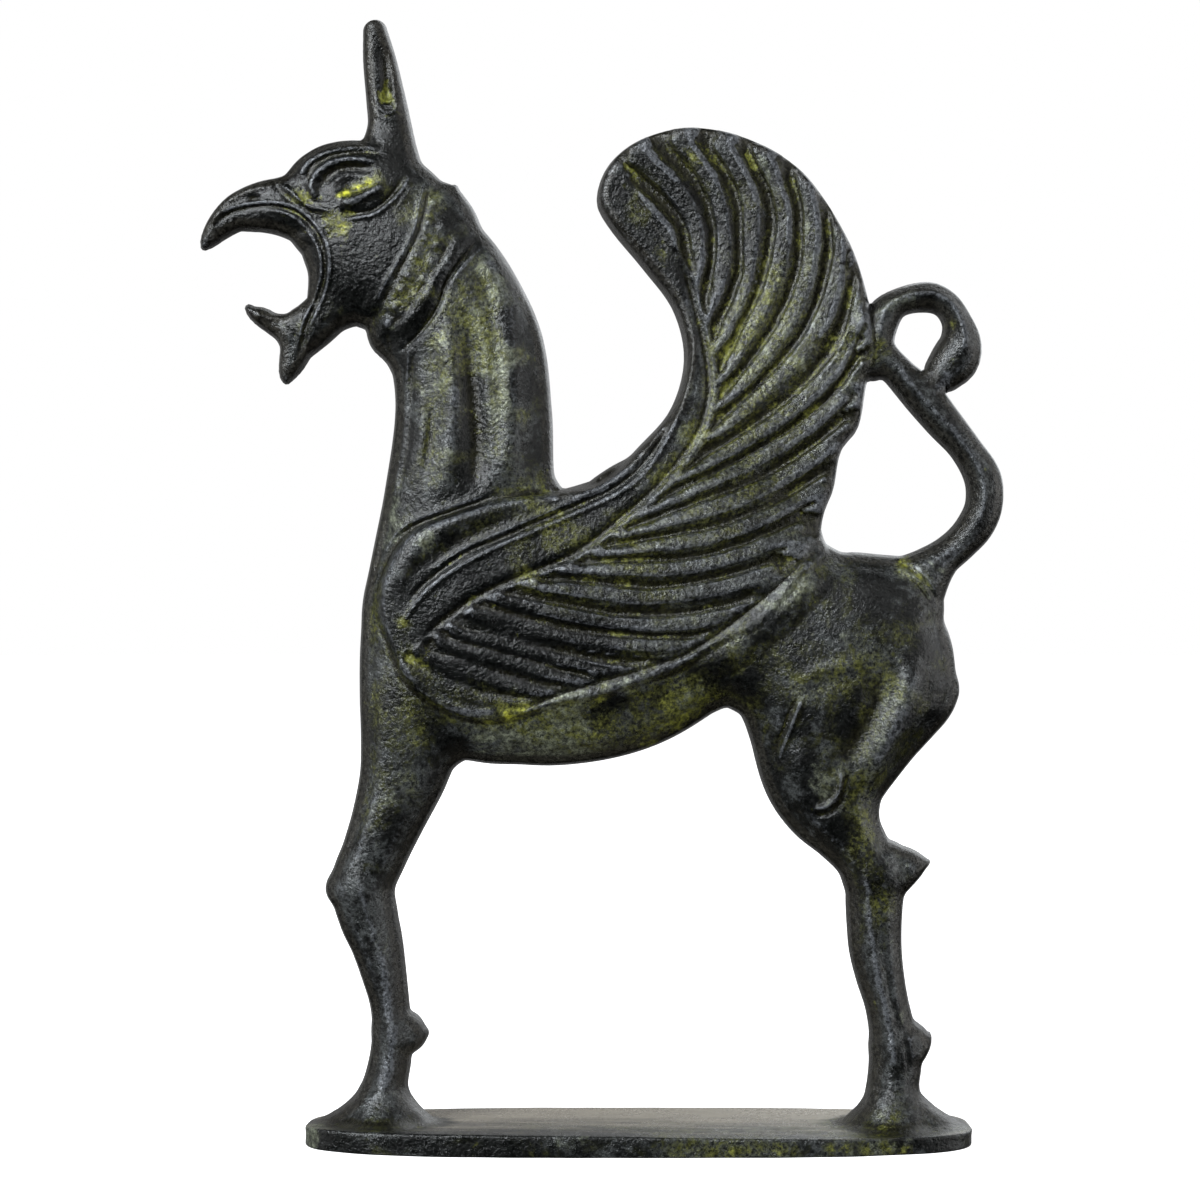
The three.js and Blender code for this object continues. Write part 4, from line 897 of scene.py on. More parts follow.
class Figure:
    """The griffin's flat outline and the height of its skin over the middle plane."""

    def __init__(self, sizes):
        self.sizes = sizes
        self.height = sizes.figure_height / MILLIMETRE
        self.share = self.height / 1000
        half_thickness = sizes.figure_thickness / MILLIMETRE / 2
        margin = sizes.plinth_length / MILLIMETRE / 2 / self.share - STANCE
        stations = [(points, squareness) for squareness, points in LIMBS.values()]
        for side in (-1, 1):
            for runout in FOOT_RUNOUTS:
                placed = [(side * (STANCE + out * margin), up, r, t) for out, up, r, t in runout]
                stations.append((placed, FOOT_SQUARENESS))
        self.limbs = [Limb(p, s, self.share, half_thickness) for p, s in stations]
        self.left = min((limb.run[:, 0] - limb.run[:, 2]).min() for limb in self.limbs)
        self.right = max((limb.run[:, 0] + limb.run[:, 2]).max() for limb in self.limbs)
        edge = np.array(WING_EDGE[-2:] + WING_EDGE + WING_EDGE[:2], float) * self.share
        knots = chord_knots(edge)
        start, end = knots[2], knots[len(WING_EDGE) + 2]
        at = np.linspace(start, end, round((end - start) / WING_EDGE_STEP), endpoint=False)
        self.wing_loop = curve_at(edge, knots, at)
        self.wing_run = np.vstack([self.wing_loop, self.wing_loop[:1]])
        # Feather middles and the grooves between them, in turn
        self.feather_places = np.arange(-1, FEATHER_COUNT, 0.5)
        self.feather_runs = [
            run_curve(course * self.share, FEATHER_STEP)
            for course in feather_courses(self.feather_places)
        ]

    def outside_wing(self, x, z):
        """How far each place is outside the wing's edge, negative inside."""
        outside = np.full(len(x), BLEND_REACH)
        near = near_box(self.wing_run, BLEND_REACH, x, z)
        distance, _, _ = nearest_on_run(self.wing_run, x[near], z[near])
        inside = is_inside(self.wing_loop, x[near], z[near])
        outside[near] = np.where(inside, -distance, distance)
        return outside

    def outside(self, x, z):
        """How far each place is outside the figure's outline, negative inside."""
        gap = np.full(len(x), BLEND_REACH)
        for limb in self.limbs:
            near = near_box(limb.run, limb.reach + BLEND_REACH, x, z)
            outside, _ = limb.at(x[near], z[near])
            gap[near] = smooth_min(gap[near], outside, CROTCH_FILLET)
        return smooth_min(gap, self.outside_wing(x, z), CROTCH_FILLET)

    def feather_relief(self, x, z, wing_inset):
        """The wing's feathers: raised bands with a crisp lower edge and grooves between. Gives
        what they add to the skin's height, the level between groove and edge, and how strongly
        they are cut."""
        x, z = waver(x, z, FEATHER_WAVER)
        distances = np.array([nearest_on_run(run, x, z)[0] for run in self.feather_runs])
        nearest = distances.argmin(axis=0)
        last = len(distances) - 1
        columns = np.arange(len(x))
        here = distances[nearest, columns]
        before = np.where(nearest > 0, distances[np.maximum(nearest - 1, 0), columns], np.inf)
        after = np.where(nearest < last, distances[np.minimum(nearest + 1, last), columns], np.inf)
        side = np.where(after < before, 1, -1)
        beside = np.minimum(before, after)
        pitch = 2 * (here + beside)
        place = self.feather_places[nearest] + side * 0.5 * here / (here + beside)
        cut = place + 0.5 - FEATHER_SHIFT
        phase = cut % 1
        to_root, _, on_arm = nearest_on_run(self.stroke_run("arm_lower_groove"), x, z)
        uneven = FEATHER_ROOT_SPREAD * (0.5 + 0.5 * np.sin(FEATHER_ROOT_TURN * np.floor(cut)))
        to_root = np.where(on_arm, 0, np.maximum(to_root - uneven, 0))
        narrow = 1 - smooth_step(*FEATHER_ROOT_TAPER, to_root)
        narrow_upper, narrow_lower = FEATHER_ROOT_NARROWING
        rise = smooth_step(*FEATHER_RISE, phase - narrow_upper * narrow)
        rise = rise * (1 - bend_step(*FEATHER_DROP, phase + narrow_lower * narrow))
        swell = smooth_step(*FEATHER_SWELL, phase)
        rise = rise * (FEATHER_UPPER_EDGE + (1 - FEATHER_UPPER_EDGE) * swell)
        band = smooth_step(*LEADING_BAND, -place) * LEADING_BAND_HEIGHT
        relief = np.maximum(rise, band) - 0.5
        to_cord, _, over_cord = nearest_on_run(self.stroke_run("wing_lower_groove"), x, z)
        to_cord = np.where(over_cord, to_cord, 0)
        room = smooth_step(*FEATHER_PITCH_FADE, pitch)
        tip = smooth_step(*FEATHER_TIP_FADE, wing_inset)
        feathered = smooth_step(*FEATHER_ROOT_FADE, to_root)
        feathered = feathered * smooth_step(*FEATHER_FOOT_FADE, to_cord)
        depth = self.sizes.feather_depth / MILLIMETRE
        strength = room * feathered * tip * (1 - self.faintness(x, z))
        bare = BARE_WING_RISE * (1 - feathered) * tip
        return depth * (relief * strength + bare), relief, strength

    def faintness(self, x, z):
        """The share of the wing's relief that is lost to wear at each place."""
        return np.minimum(patch_amounts(FAINT_FEATHERS, x / self.share, z / self.share), 1)

    def feather_marks(self, x, z, gap):
        """How far each place lies in a groove between feathers, on a feather's slope and on its
        edge, each 0 to 1."""
        marks = np.zeros((3, len(x)))
        near = np.flatnonzero((gap > 0) & (gap < MARKED_INSET))
        inset = -self.outside_wing(x[near], z[near])
        on_wing = near[inset > 0]
        _, level, strength = self.feather_relief(x[on_wing], z[on_wing], inset[inset > 0])
        # These marks paint shade in the grooves and on the slopes and a highlight on the edges.
        marks[0, on_wing] = strength * smooth_step(*FURROW_DEPTHS, -level)
        marks[1, on_wing] = strength * smooth_step(*SLOPE_DEPTHS, -level)
        marks[2, on_wing] = strength * smooth_step(*CREST_HEIGHTS, level)
        return marks

    def stroke_run(self, name):
        """The course of a carved line, in millimetres."""
        *_, course = STROKES[name]
        return run_curve(np.array(course, float) * self.share, STROKE_STEP)

    def carved_rise(self, x, z):
        """What the carved lines and cast knobs add to the skin's height."""
        rise = np.zeros(len(x))
        for name, (half_width, height, fade_in, fade_out, _) in STROKES.items():
            run = self.stroke_run(name)
            near = near_box(run, half_width, x, z)
            distance, along, _ = nearest_on_run(run, x[near], z[near])
            left = chord_knots(run)[-1] - along
            share = np.clip(distance / half_width, 0, 1)
            fade = smooth_step(0, fade_in, along + CARVING_HEAD_START)
            fade = fade * smooth_step(0, fade_out, left + CARVING_HEAD_START)
            rise[near] += height * (1 - share**2) ** 2 * fade
        for across, up, radius, height in KNOBS:
            share = np.hypot(x - across * self.share, z - up * self.share) / radius
            near = share < 1
            rise[near] += height * (1 - share[near] ** 2) ** 2
        return rise

    def skin(self, x, z, inset):
        """How high the skin stands over the middle plane."""
        edge_half = self.sizes.edge_thickness / MILLIMETRE / 2
        edge = edge_half * rounded_section(1 - inset / EDGE_ROUNDING, EDGE_SQUARENESS)
        spread = 1 + FOOT_SPREAD * np.exp(-np.maximum(z, 0) / FOOT_SPREAD_HEIGHT)
        body = edge
        for limb in self.limbs:
            near = near_box(limb.run, limb.reach, x, z)
            outside, rise = limb.at(x[near], z[near])
            body[near] = np.where(
                outside < 0, smooth_max(body[near], rise * spread[near], MUSCLE_BLEND), body[near]
            )
        flare = FOOT_FLARE_SLOPE * np.maximum(FOOT_FLARE_HEIGHT - z, 0)
        body = smooth_min(body, BEVEL_START + BEVEL_SLOPE * inset + flare, BEVEL_SOFTNESS)
        wing_inset = -self.outside_wing(x, z)
        on_wing = np.flatnonzero(wing_inset > 0)
        wx, wz, wi = x[on_wing], z[on_wing], wing_inset[on_wing]
        from_shoulder = np.hypot(wx - SHOULDER[0] * self.share, wz - SHOULDER[1] * self.share)
        root = self.sizes.wing_root_thickness / MILLIMETRE / 2
        tip = self.sizes.wing_tip_thickness / MILLIMETRE / 2
        wing = root + smooth_step(*WING_TAPER, from_shoulder) * (tip - root)
        wing = wing * rounded_section(1 - wi / WING_EDGE_ROUNDING, EDGE_SQUARENESS)
        layer = WING_LAYER * smooth_step(*WING_LAYER_EDGE, wi)
        layer = layer * (1 - WORN_LAYER_SHARE * self.faintness(wx, wz))
        wing = smooth_max(body[on_wing], wing, WING_BLEND) + layer
        body[on_wing] = wing + self.feather_relief(wx, wz, wi)[0]
        return body + self.carved_rise(x, z) * smooth_step(*CARVING_EDGE, inset)


def trace_outline(figure, cell=OUTLINE_CELL, least_count=9):
    """Closed loops around the figure where its outside gap is zero, by marching squares. Loops
    with fewer points than the least count are left out."""
    xs = np.arange(figure.left - 2 * cell, figure.right + 3 * cell, cell)
    zs = np.arange(-CUT_DEPTH - 2 * cell, figure.height + 3 * cell, cell)
    grid_x, grid_z = np.meshgrid(xs, zs, indexing="ij")
    flat_x, flat_z = grid_x.ravel(), grid_z.ravel()
    gap = np.maximum(figure.outside(flat_x, flat_z), -CUT_DEPTH - flat_z).reshape(grid_x.shape)
    inside = gap < 0

    def crossing(a, b):
        """The place between two grid points where the gap is zero."""
        share = gap[a] / (gap[a] - gap[b])
        return (xs[a[0]] + share * (xs[b[0]] - xs[a[0]]), zs[a[1]] + share * (zs[b[1]] - zs[a[1]]))

    mixed = inside[:-1, :-1].astype(int) + inside[1:, :-1] + inside[:-1, 1:] + inside[1:, 1:]
    links, points = {}, {}
    for i, j in np.argwhere((mixed > 0) & (mixed < 4)):
        corners = [(i, j), (i + 1, j), (i + 1, j + 1), (i, j + 1)]
        crossed = []
        for a, b in zip(corners, corners[1:] + corners[:1]):
            if inside[a] != inside[b]:
                key = (min(a, b), max(a, b))
                points[key] = crossing(*key)
                crossed.append(key)
        for a, b in zip(crossed[::2], crossed[1::2]):
            links.setdefault(a, []).append(b)
            links.setdefault(b, []).append(a)
    loops = []
    while links:
        first = next(iter(links))
        loop, here = [], first
        while here in links:
            loop.append(points[here])
            following = [key for key in links.pop(here) if key in links]
            if not following:
                break
            here = following[0]
        if len(loop) >= least_count:
            loops.append(np.array(loop))
    return loops


def slope_at(figure, x, z, reach=0.03):
    """The direction straight out of the figure at each place."""
    sx = figure.outside(x + reach, z) - figure.outside(x - reach, z)
    sz = figure.outside(x, z + reach) - figure.outside(x, z - reach)
    length = np.maximum(np.hypot(sx, sz), 1e-9)
    return sx / length, sz / length


def settle(figure, x, z, passes=3):
    """Moves places onto the figure's outline, apart from those along the cut under the plinth."""
    free = z > CUT_MARGIN - CUT_DEPTH
    for _ in range(passes):
        gap = np.where(free, figure.outside(x, z), 0)
        sx, sz = slope_at(figure, x, z)
        x = x - gap * sx
        z = z - gap * sz
    return x, z


def even_loop(loop, step):
    """A closed loop with points an even step apart."""
    closed = np.vstack([loop, loop[:1]])
    knots = chord_knots(closed)
    count = round(knots[-1] / step)
    at = np.linspace(0, knots[-1], count, endpoint=False)
    return np.stack([np.interp(at, knots, closed[:, i]) for i in (0, 1)], axis=1)


def cut_at_plinth(loop, step):
    """Cuts a loop where it goes under the plinth's top, with a row of points along the cut."""
    below = loop[:, 1] < 0
    if not below.any():
        return loop
    turn = int(np.flatnonzero(~below & np.roll(below, 1))[0])
    loop = np.roll(loop, -turn, axis=0)
    kept = []
    for here, after in zip(loop, np.roll(loop, -1, axis=0)):
        if here[1] >= 0:
            kept.append(here)
        if (here[1] < 0) != (after[1] < 0):
            share = here[1] / (here[1] - after[1])
            kept.append(np.array([here[0] + share * (after[0] - here[0]), 0.0]))
    rows = []
    for here, after in zip(kept, kept[1:] + kept[:1]):
        rows.append(here)
        if here[1] == 0 and after[1] == 0:
            width = abs(after[0] - here[0])
            near_ends = [inset for inset, _ in RIM_ROWS]
            count = max(2, round((width - 2 * near_ends[-1]) / step))
            middle = np.linspace(near_ends[-1], width - near_ends[-1], count + 1)[1:-1]
            far_ends = [width - inset for inset in reversed(near_ends)]
            rows += [here + (after - here) * at / width for at in [*near_ends, *middle, *far_ends]]
    return np.array(rows)


class Room:
    """Keeps places apart: a place is taken only where no other is nearer than its room."""

    def __init__(self, taken, cell=0.4):
        self.cell = cell
        self.cells = {}
        for x, z in taken:
            self.note(x, z)

    def key(self, x, z):
        """The cell that a place lies in."""
        return (math.floor(x / self.cell), math.floor(z / self.cell))

    def note(self, x, z):
        """Counts a place as taken."""
        self.cells.setdefault(self.key(x, z), []).append((x, z))

    def is_free(self, x, z, room):
        """Whether no taken place is nearer than the room."""
        i, k = self.key(x, z)
        reach = math.ceil(room / self.cell)
        for a in range(i - reach, i + reach + 1):
            for b in range(k - reach, k + reach + 1):
                for px, pz in self.cells.get((a, b), ()):
                    if (px - x) ** 2 + (pz - z) ** 2 < room * room:
                        return False
        return True

    def take(self, places, room):
        """Takes those places that are free, one after another, and returns them."""
        taken = []
        for x, z in places:
            if self.is_free(x, z, room):
                self.note(x, z)
                taken.append((x, z))
        return taken


def triangle_grid(low, high, step):
    """Places of a grid of even triangles between two corners."""
    rows = np.arange(low[1], high[1], step * GRID_ROW_STEP)
    x, z = np.meshgrid(np.arange(low[0], high[0], step), rows)
    x[1::2] += step / 2
    return x.ravel(), z.ravel()


def course_places(figure):
    """Places in rows along the carved lines and the feathers' edges, so that the mesh follows
    them."""
    rows = []
    for name, (half_width, *_) in STROKES.items():
        if half_width > BROADEST_ROWED:
            continue
        run = run_curve(figure.stroke_run(name), COURSE_STEP)
        along = np.gradient(run, axis=0)
        along /= np.hypot(*along.T)[:, None]
        across = np.stack([-along[:, 1], along[:, 0]], axis=1)
        rows += [run + across * half_width * share for share in STROKE_ROWS]
    for phase in FEATHER_ROWS:
        courses = feather_courses(np.arange(FEATHER_COUNT) - 0.5 + phase)
        rows += [run_curve(course * figure.share, COURSE_STEP) for course in courses]
    places = np.vstack(rows)
    wanted = figure.outside(*places.T) < -RIM_ROWS[2][0]
    return places[wanted & (places[:, 1] > COURSE_STEP)]


def inner_places(figure, loops, sizes):
    """Places inside the outline: rows along the rim and the courses, then grids that are finer in
    the head and wing than in the body and legs."""
    rim = np.vstack(loops)
    room = Room(rim)
    round_rim = rim[rim[:, 1] > 1e-6]
    outward = np.stack(slope_at(figure, *round_rim.T), axis=1)
    places = []
    for inset, spacing in RIM_ROWS:
        row = round_rim - outward * inset
        wanted = figure.outside(*row.T) < -OTHER_RIM_SHARE * inset
        places += room.take(row[wanted & (row[:, 1] > PLINTH_SHARE * spacing)], spacing)
    places += room.take(course_places(figure), COURSE_ROOM)
    grids = {"head": sizes.head_mesh, "wing": sizes.wing_mesh, "body": sizes.body_mesh}
    for zone, mesh_size in grids.items():
        grid = mesh_size / MILLIMETRE
        low = (figure.left, FIRST_GRID_ROW * grid)
        x, z = triangle_grid(low, (figure.right, figure.height + grid), grid)
        wanted = np.ones(len(x), bool)
        if zone == "head":
            left, right, bottom, top = np.array(HEAD_BOX) * figure.share
            wanted = (x > left) & (x < right) & (z > bottom) & (z < top)
        elif zone == "wing":
            wanted = figure.outside_wing(x, z) < WING_GRID_REACH
        x, z = x[wanted], z[wanted]
        wanted = figure.outside(x, z) < -RIM_ROWS[-1][0] - GRID_RIM_ROOM * grid
        places += room.take(zip(x[wanted], z[wanted]), GRID_ROOM * grid)
    return places


def fill_loops(loops, inner):
    """The places of closed loops and the inner places, in that order, and the triangles between
    them that are inside the loops."""
    rim = [tuple(place) for loop in loops for place in loop]
    edges, start = [], 0
    for loop in loops:
        edges += [(start + i, start + (i + 1) % len(loop)) for i in range(len(loop))]
        start += len(loop)
    vectors = [Vector(place) for place in rim + inner]
    found, _, faces, *_ = geometry.delaunay_2d_cdt(vectors, edges, [], 1, 1e-7, False)
    if len(found) != len(vectors):
        raise RuntimeError("A face of the casting could not be filled")
    places = np.array([tuple(place) for place in found])
    faces = np.array(faces)
    return places, faces[inside_loops(loops, *places[faces].mean(axis=1).T)]


def is_clockwise(places, faces):
    """Whether each triangle of flat places runs clockwise."""
    a, b, c = (places[faces[:, i]].T for i in range(3))
    return (b[0] - a[0]) * (c[1] - a[1]) - (b[1] - a[1]) * (c[0] - a[0]) < 0


class Skin:
    """Points and triangles of a growing mesh, in millimetres."""

    def __init__(self):
        self.points = np.zeros((0, 3))
        self.faces = np.zeros((0, 3), int)

    def add_points(self, points):
        """Adds points and returns their indices."""
        start = len(self.points)
        self.points = np.vstack([self.points, points])
        return np.arange(start, start + len(points))

    def add_faces(self, faces):
        """Adds triangles between points."""
        self.faces = np.vstack([self.faces, faces])

    def evened(self, passes, share=1.0):
        """The points after moving by a share towards their neighbours' middle, a number of
        times."""
        pairs = np.vstack([self.faces[:, [0, 1]], self.faces[:, [1, 2]], self.faces[:, [2, 0]]])
        pairs = np.unique(np.sort(pairs, axis=1), axis=0)
        a, b = np.concatenate([pairs, pairs[:, ::-1]]).T
        points = self.points
        count = np.maximum(np.bincount(a, minlength=len(points)), 1)
        for _ in range(passes):
            middle = [np.bincount(a, axis[b], len(points)) / count for axis in points.T]
            points = points + (np.stack(middle, axis=1) - points) * share
        return points

    def normals(self):
        """The direction out of the skin at each point."""
        a, b, c = (self.points[self.faces[:, i]] for i in range(3))
        across = np.cross(b - a, c - a)
        normal = np.zeros_like(self.points)
        for corner in range(3):
            for axis in range(3):
                normal[:, axis] += np.bincount(self.faces[:, corner], across[:, axis], len(normal))
        return normal / np.maximum(np.linalg.norm(normal, axis=1), 1e-12)[:, None]


def make_griffin(figure, sizes):
    """The griffin's skin, front and back, open where it stands on the plinth, and the ring of
    points where each foot meets the plinth."""
    step = sizes.rim_mesh / MILLIMETRE
    loops = []
    for loop in trace_outline(figure):
        x, z = settle(figure, *even_loop(loop, step).T)
        loops.append(cut_at_plinth(np.stack([x, z], axis=1), step))
    places, faces = fill_loops(loops, inner_places(figure, loops, sizes))
    x, z = places.T
    rim_up = np.vstack(loops)[:, 1]
    above = (rim_up > 0) | (np.roll(rim_up, 1) > 0) | (np.roll(rim_up, -1) > 0)
    on_outline = np.zeros(len(places), bool)
    on_outline[:len(above)] = above
    # A triangle with all its corners on the outline would be a flap without thickness.
    faces = faces[~on_outline[faces].all(axis=1)]
    inset = -figure.outside(x, z)
    height = figure.skin(x, z, np.maximum(inset, 0))
    height[on_outline] = 0
    waves = sum(rise * noise_at(x, z, length, seed) for rise, length, seed in HAND_WAVES)
    height += waves * smooth_step(*HAND_WAVES_EDGE, inset)
    skin = Skin()
    skin.add_points(np.stack([x, -height, z], axis=1))
    behind = np.arange(len(places))
    inner = np.flatnonzero(~on_outline)
    behind[inner] = skin.add_points(np.stack([x[inner], height[inner], z[inner]], axis=1))
    turned = is_clockwise(places, faces)
    faces[turned] = faces[turned][:, [0, 2, 1]]
    skin.add_faces(faces)
    skin.add_faces(behind[faces[:, [0, 2, 1]]])
    feet, row = [], []
    for i, up in enumerate(rim_up):
        if up == 0:
            row.append(i)
        elif row:
            feet.append(row)
            row = []
    if row:
        feet.append(row)
    feet = [foot + [int(behind[i]) for i in reversed(foot[1:-1])] for foot in feet]
    return skin, feet


def add_plinth(skin, feet, sizes):
    """The oval plinth under the griffin's feet, joined to the rows where the feet end."""
    length = sizes.plinth_length / MILLIMETRE
    depth = sizes.plinth_depth / MILLIMETRE
    thickness = sizes.plinth_thickness / MILLIMETRE
    power = 2 / PLINTH_SQUARENESS
    angle = np.linspace(0, 2 * np.pi, PLINTH_TRACE_COUNT, endpoint=False)
    across, deep = np.cos(angle), np.sin(angle)
    dense = np.stack([
        np.sign(across) * np.abs(across) ** power * length / 2,
        np.sign(deep) * np.abs(deep) ** power * depth / 2,
    ], axis=1)
    edge = even_loop(dense, PLINTH_STEP)
    along = np.roll(edge, -1, axis=0) - np.roll(edge, 1, axis=0)
    along /= np.hypot(*along.T)[:, None]
    outward = np.stack([along[:, 1], -along[:, 0]], axis=1)
    turns = np.linspace(0, np.pi / 2, PLINTH_EDGE_TURNS)
    softened = np.stack([1 - np.sin(turns), np.cos(turns) - 1], axis=1) * PLINTH_EDGE_SOFTENING
    upper = softened.tolist()
    walls = [(0, -thickness * share) for share in WALL_ROWS]
    lower = [
        (LOWER_EDGE_SHARE * inset, -thickness - LOWER_EDGE_SHARE * up)
        for inset, up in reversed(upper)
    ]
    rings = []
    for inset, up in upper + walls + lower:
        worn = 0.5 + noise_at(*edge.T, PLINTH_WEAR_LENGTH, up / PLINTH_WEAR_HEIGHT)
        moved = edge - outward * (inset + PLINTH_WEAR * np.clip(worn, 0, 1))[:, None]
        rings.append(skin.add_points(np.column_stack([moved, np.full(len(moved), up)])))
    for above, below in zip(rings, rings[1:]):
        after, after_below = np.roll(above, -1), np.roll(below, -1)
        skin.add_faces(np.stack([above, below, after], axis=1))
        skin.add_faces(np.stack([after, below, after_below], axis=1))
    fill_level(skin, [rings[0], *feet], PLINTH_TOP_STEP, is_top=True)
    fill_level(skin, [rings[-1]], UNDERSIDE_STEP, is_top=False)


def fill_level(skin, rings, step, is_top):
    """Fills a level ring of points with triangles, around the rings inside it."""
    loops = [skin.points[ring, :2] for ring in rings]
    x, y = triangle_grid(loops[0].min(axis=0), loops[0].max(axis=0), step)
    wanted = inside_loops(loops, x, y)
    room = Room(np.vstack(loops), 1)
    inner = room.take(zip(x[wanted], y[wanted]), PLINTH_GRID_ROOM * step)
    places, faces = fill_loops(loops, inner)
    turned = is_clockwise(places, faces) == is_top
    faces[turned] = faces[turned][:, [0, 2, 1]]
    up = skin.points[rings[0][0], 2]
    added = skin.add_points(np.array([(*place, up) for place in inner]))
    skin.add_faces(np.concatenate([*rings, added])[faces])


def distances_to(others, points):
    """How far each point is from the nearest of the others."""
    nearest = np.full(len(points), np.inf)
    for other in others:
        nearest = np.minimum(nearest, np.linalg.norm(points - other, axis=1))
    return nearest


def soften_feet(skin, feet):
    """Rounds the corner where the feet run out on the plinth."""
    low = np.flatnonzero(np.abs(skin.points[:, 2]) < 2 * FOOT_FILLET)
    distance = distances_to(skin.points[np.concatenate(feet)], skin.points[low])
    weight = np.zeros((len(skin.points), 1))
    weight[low, 0] = 1 - smooth_step(0, FOOT_FILLET, distance)
    skin.points = skin.evened(FILLET_PASSES, FILLET_STRENGTH * weight)


def patch_amounts(patches, across, up):
    """The sum at each place of round patches that fade outwards."""
    total = np.zeros(len(across))
    for patch_across, patch_up, radius, amount in patches:
        share = np.hypot(across - patch_across, up - patch_up) / radius
        total += amount * np.exp(-(share**2))
    return total


def plinth_lean(points, sizes):
    """How far each point of the plinth's upper half rises, towards its front left corner."""
    to_left = -2 * points[:, 0] * MILLIMETRE / sizes.plinth_length
    to_front = -2 * points[:, 1] * MILLIMETRE / sizes.plinth_depth
    upper = points[:, 2] > -0.5 * sizes.plinth_thickness / MILLIMETRE
    low = 1 - smooth_step(*LEAN_HEIGHTS, points[:, 2])
    corner = smooth_step(*LEAN_TO_LEFT, to_left) * smooth_step(*LEAN_TO_FRONT, to_front)
    return PLINTH_LEAN * upper * low * corner


def finish_values(figure, skin, griffin_count, feet, sizes):
    """The finish attributes at each point: how hollow the skin is there, finely and broadly, with
    painted shade in the feather grooves and slopes and a painted highlight on their edges added to
    the fine hollows, the patina, the tone with its painted shade and highlights, the rim, the
    feathers' slopes and the wear of the plinth's top with a painted reflection that brightens it
    towards the back."""
    normal = skin.normals()
    fine, broad = (
        np.einsum("ij,ij->i", skin.evened(passes) - skin.points, normal)
        for passes in (FINE_PASSES, BROAD_PASSES)
    )
    x, y, z = skin.points.T
    inset = np.full(len(x), float(MARKED_INSET))
    inset[:griffin_count] = -figure.outside(x[:griffin_count], z[:griffin_count])
    rim = 1 - smooth_step(*RIM_BAND, inset)
    furrow, slope, crest = figure.feather_marks(x, z, inset)
    # Painted shade in the feather grooves and on their slopes, and a painted highlight on their
    # edges
    fine = fine * (1 - RIM_HOLLOW_LOSS * rim) + FURROW_SHADE * furrow
    fine = fine + SLOPE_SHADE * slope - CREST_HIGHLIGHT_RUB * crest
    # The plinth's top: rubbed wear and a painted reflection, fading out beside the feet and
    # growing towards the back
    top = np.flatnonzero((np.abs(z) < TOP_HEIGHT) & (normal[:, 2] > TOP_LEVEL))
    from_feet = distances_to(skin.points[np.concatenate(feet)[::4]], skin.points[top])
    from_front = 0.5 + y[top] * MILLIMETRE / sizes.plinth_depth
    top_wear = np.zeros(len(x))
    top_wear[top] = smooth_step(*TOP_RUB_REFLECTION_EDGE, from_feet) * (FRONT_RUB_AND_REFLECTION + BACK_PAINTED_REFLECTION * from_front)
    return {
        "fine_hollow": fine, "broad_hollow": broad,
        "patina": patch_amounts(PATINA_PATCHES, x / figure.share, z / figure.share),
        # Patina patches, and patches of painted shade and painted highlight
        "tone": patch_amounts(TONE_AND_PAINTED_LIGHT_PATCHES, x / figure.share, z / figure.share),
        "rim": rim, "slope": slope, "top_wear": top_wear,
    }


def make_statue(sizes):
    """The whole casting as one mesh with its own finish attributes."""
    figure = Figure(sizes)
    skin, feet = make_griffin(figure, sizes)
    griffin_count = len(skin.points)
    add_plinth(skin, feet, sizes)
    soften_feet(skin, feet)
    points = skin.points + [0, 0, sizes.plinth_thickness / MILLIMETRE]
    points[:, 2] += plinth_lean(skin.points, sizes)
    points = np.clip(points * MILLIMETRE, STATUE_LOW, STATUE_HIGH)
    used, corners = np.unique(skin.faces, return_inverse=True)
    mesh = bpy.data.meshes.new("griffin_casting")
    mesh.from_pydata(points[used].tolist(), [], corners.reshape(-1, 3).tolist())
    for name, values in finish_values(figure, skin, griffin_count, feet, sizes).items():
        kept = mesh.attributes.new(name, "FLOAT", "POINT")
        kept.data.foreach_set("value", values[used].astype("f"))
    mesh.shade_smooth()
    mesh.validate()
    print(f"{mesh.name}: {len(mesh.polygons)} triangles")
    return mesh


def node_material(name, nodes):
    """A material from nodes given as name: (type, settings, inputs). An input is a value or, as
    "name.output", a link from another node."""
    material = bpy.data.materials.new(name)
    material.use_nodes = True
    tree = material.node_tree
    tree.nodes.clear()
    made = {}
    for label, (kind, settings, _) in nodes.items():
        made[label] = node = tree.nodes.new(kind)
        node.name = node.label = label
        for key, value in settings.items():
            setattr(node, key, value)
    for label, (_, _, inputs) in nodes.items():
        for key, value in inputs.items():
            if isinstance(value, str):
                start, output = value.split(".")
                output = int(output) if output.isdigit() else output
                tree.links.new(made[start].outputs[output], made[label].inputs[key])
            else:
                made[label].inputs[key].default_value = value
    return material


def grain(scale, detail, roughness, distortion=0.0, seed=0.0, place="place.Object"):
    """Settings of a noise texture node. The scale is in features per metre."""
    inputs = {
        "Vector": place, "Scale": scale, "Detail": detail, "Roughness": roughness,
        "Distortion": distortion, "W": seed,
    }
    return ("ShaderNodeTexNoise", {"noise_dimensions": "4D"}, inputs)


def arithmetic(operation, *inputs):
    """Settings of a math node."""
    return ("ShaderNodeMath", {"operation": operation}, dict(enumerate(inputs)))


def weighted(first, weight, second):
    """Settings of a math node that adds the first times a weight to the second."""
    return arithmetic("MULTIPLY_ADD", first, weight, second)


def spread_range(value, low, high, to_low=0.0, to_high=1.0):
    """Settings of a node that maps one range smoothly to another."""
    inputs = {
        "Value": value, "From Min": low, "From Max": high, "To Min": to_low, "To Max": to_high,
    }
    return ("ShaderNodeMapRange", {"interpolation_type": "SMOOTHSTEP"}, inputs)


def colour_mix(share, first, second, blend="MIX"):
    """Settings of a node that mixes two colours, each a link or a finish colour. Its output 2 is
    the mixed colour."""
    inputs = {0: share}
    for key, colour in ((6, first), (7, second)):
        inputs[key] = colour if isinstance(colour, str) else (*colour, 1)
    return ("ShaderNodeMix", {"data_type": "RGBA", "blend_type": blend}, inputs)


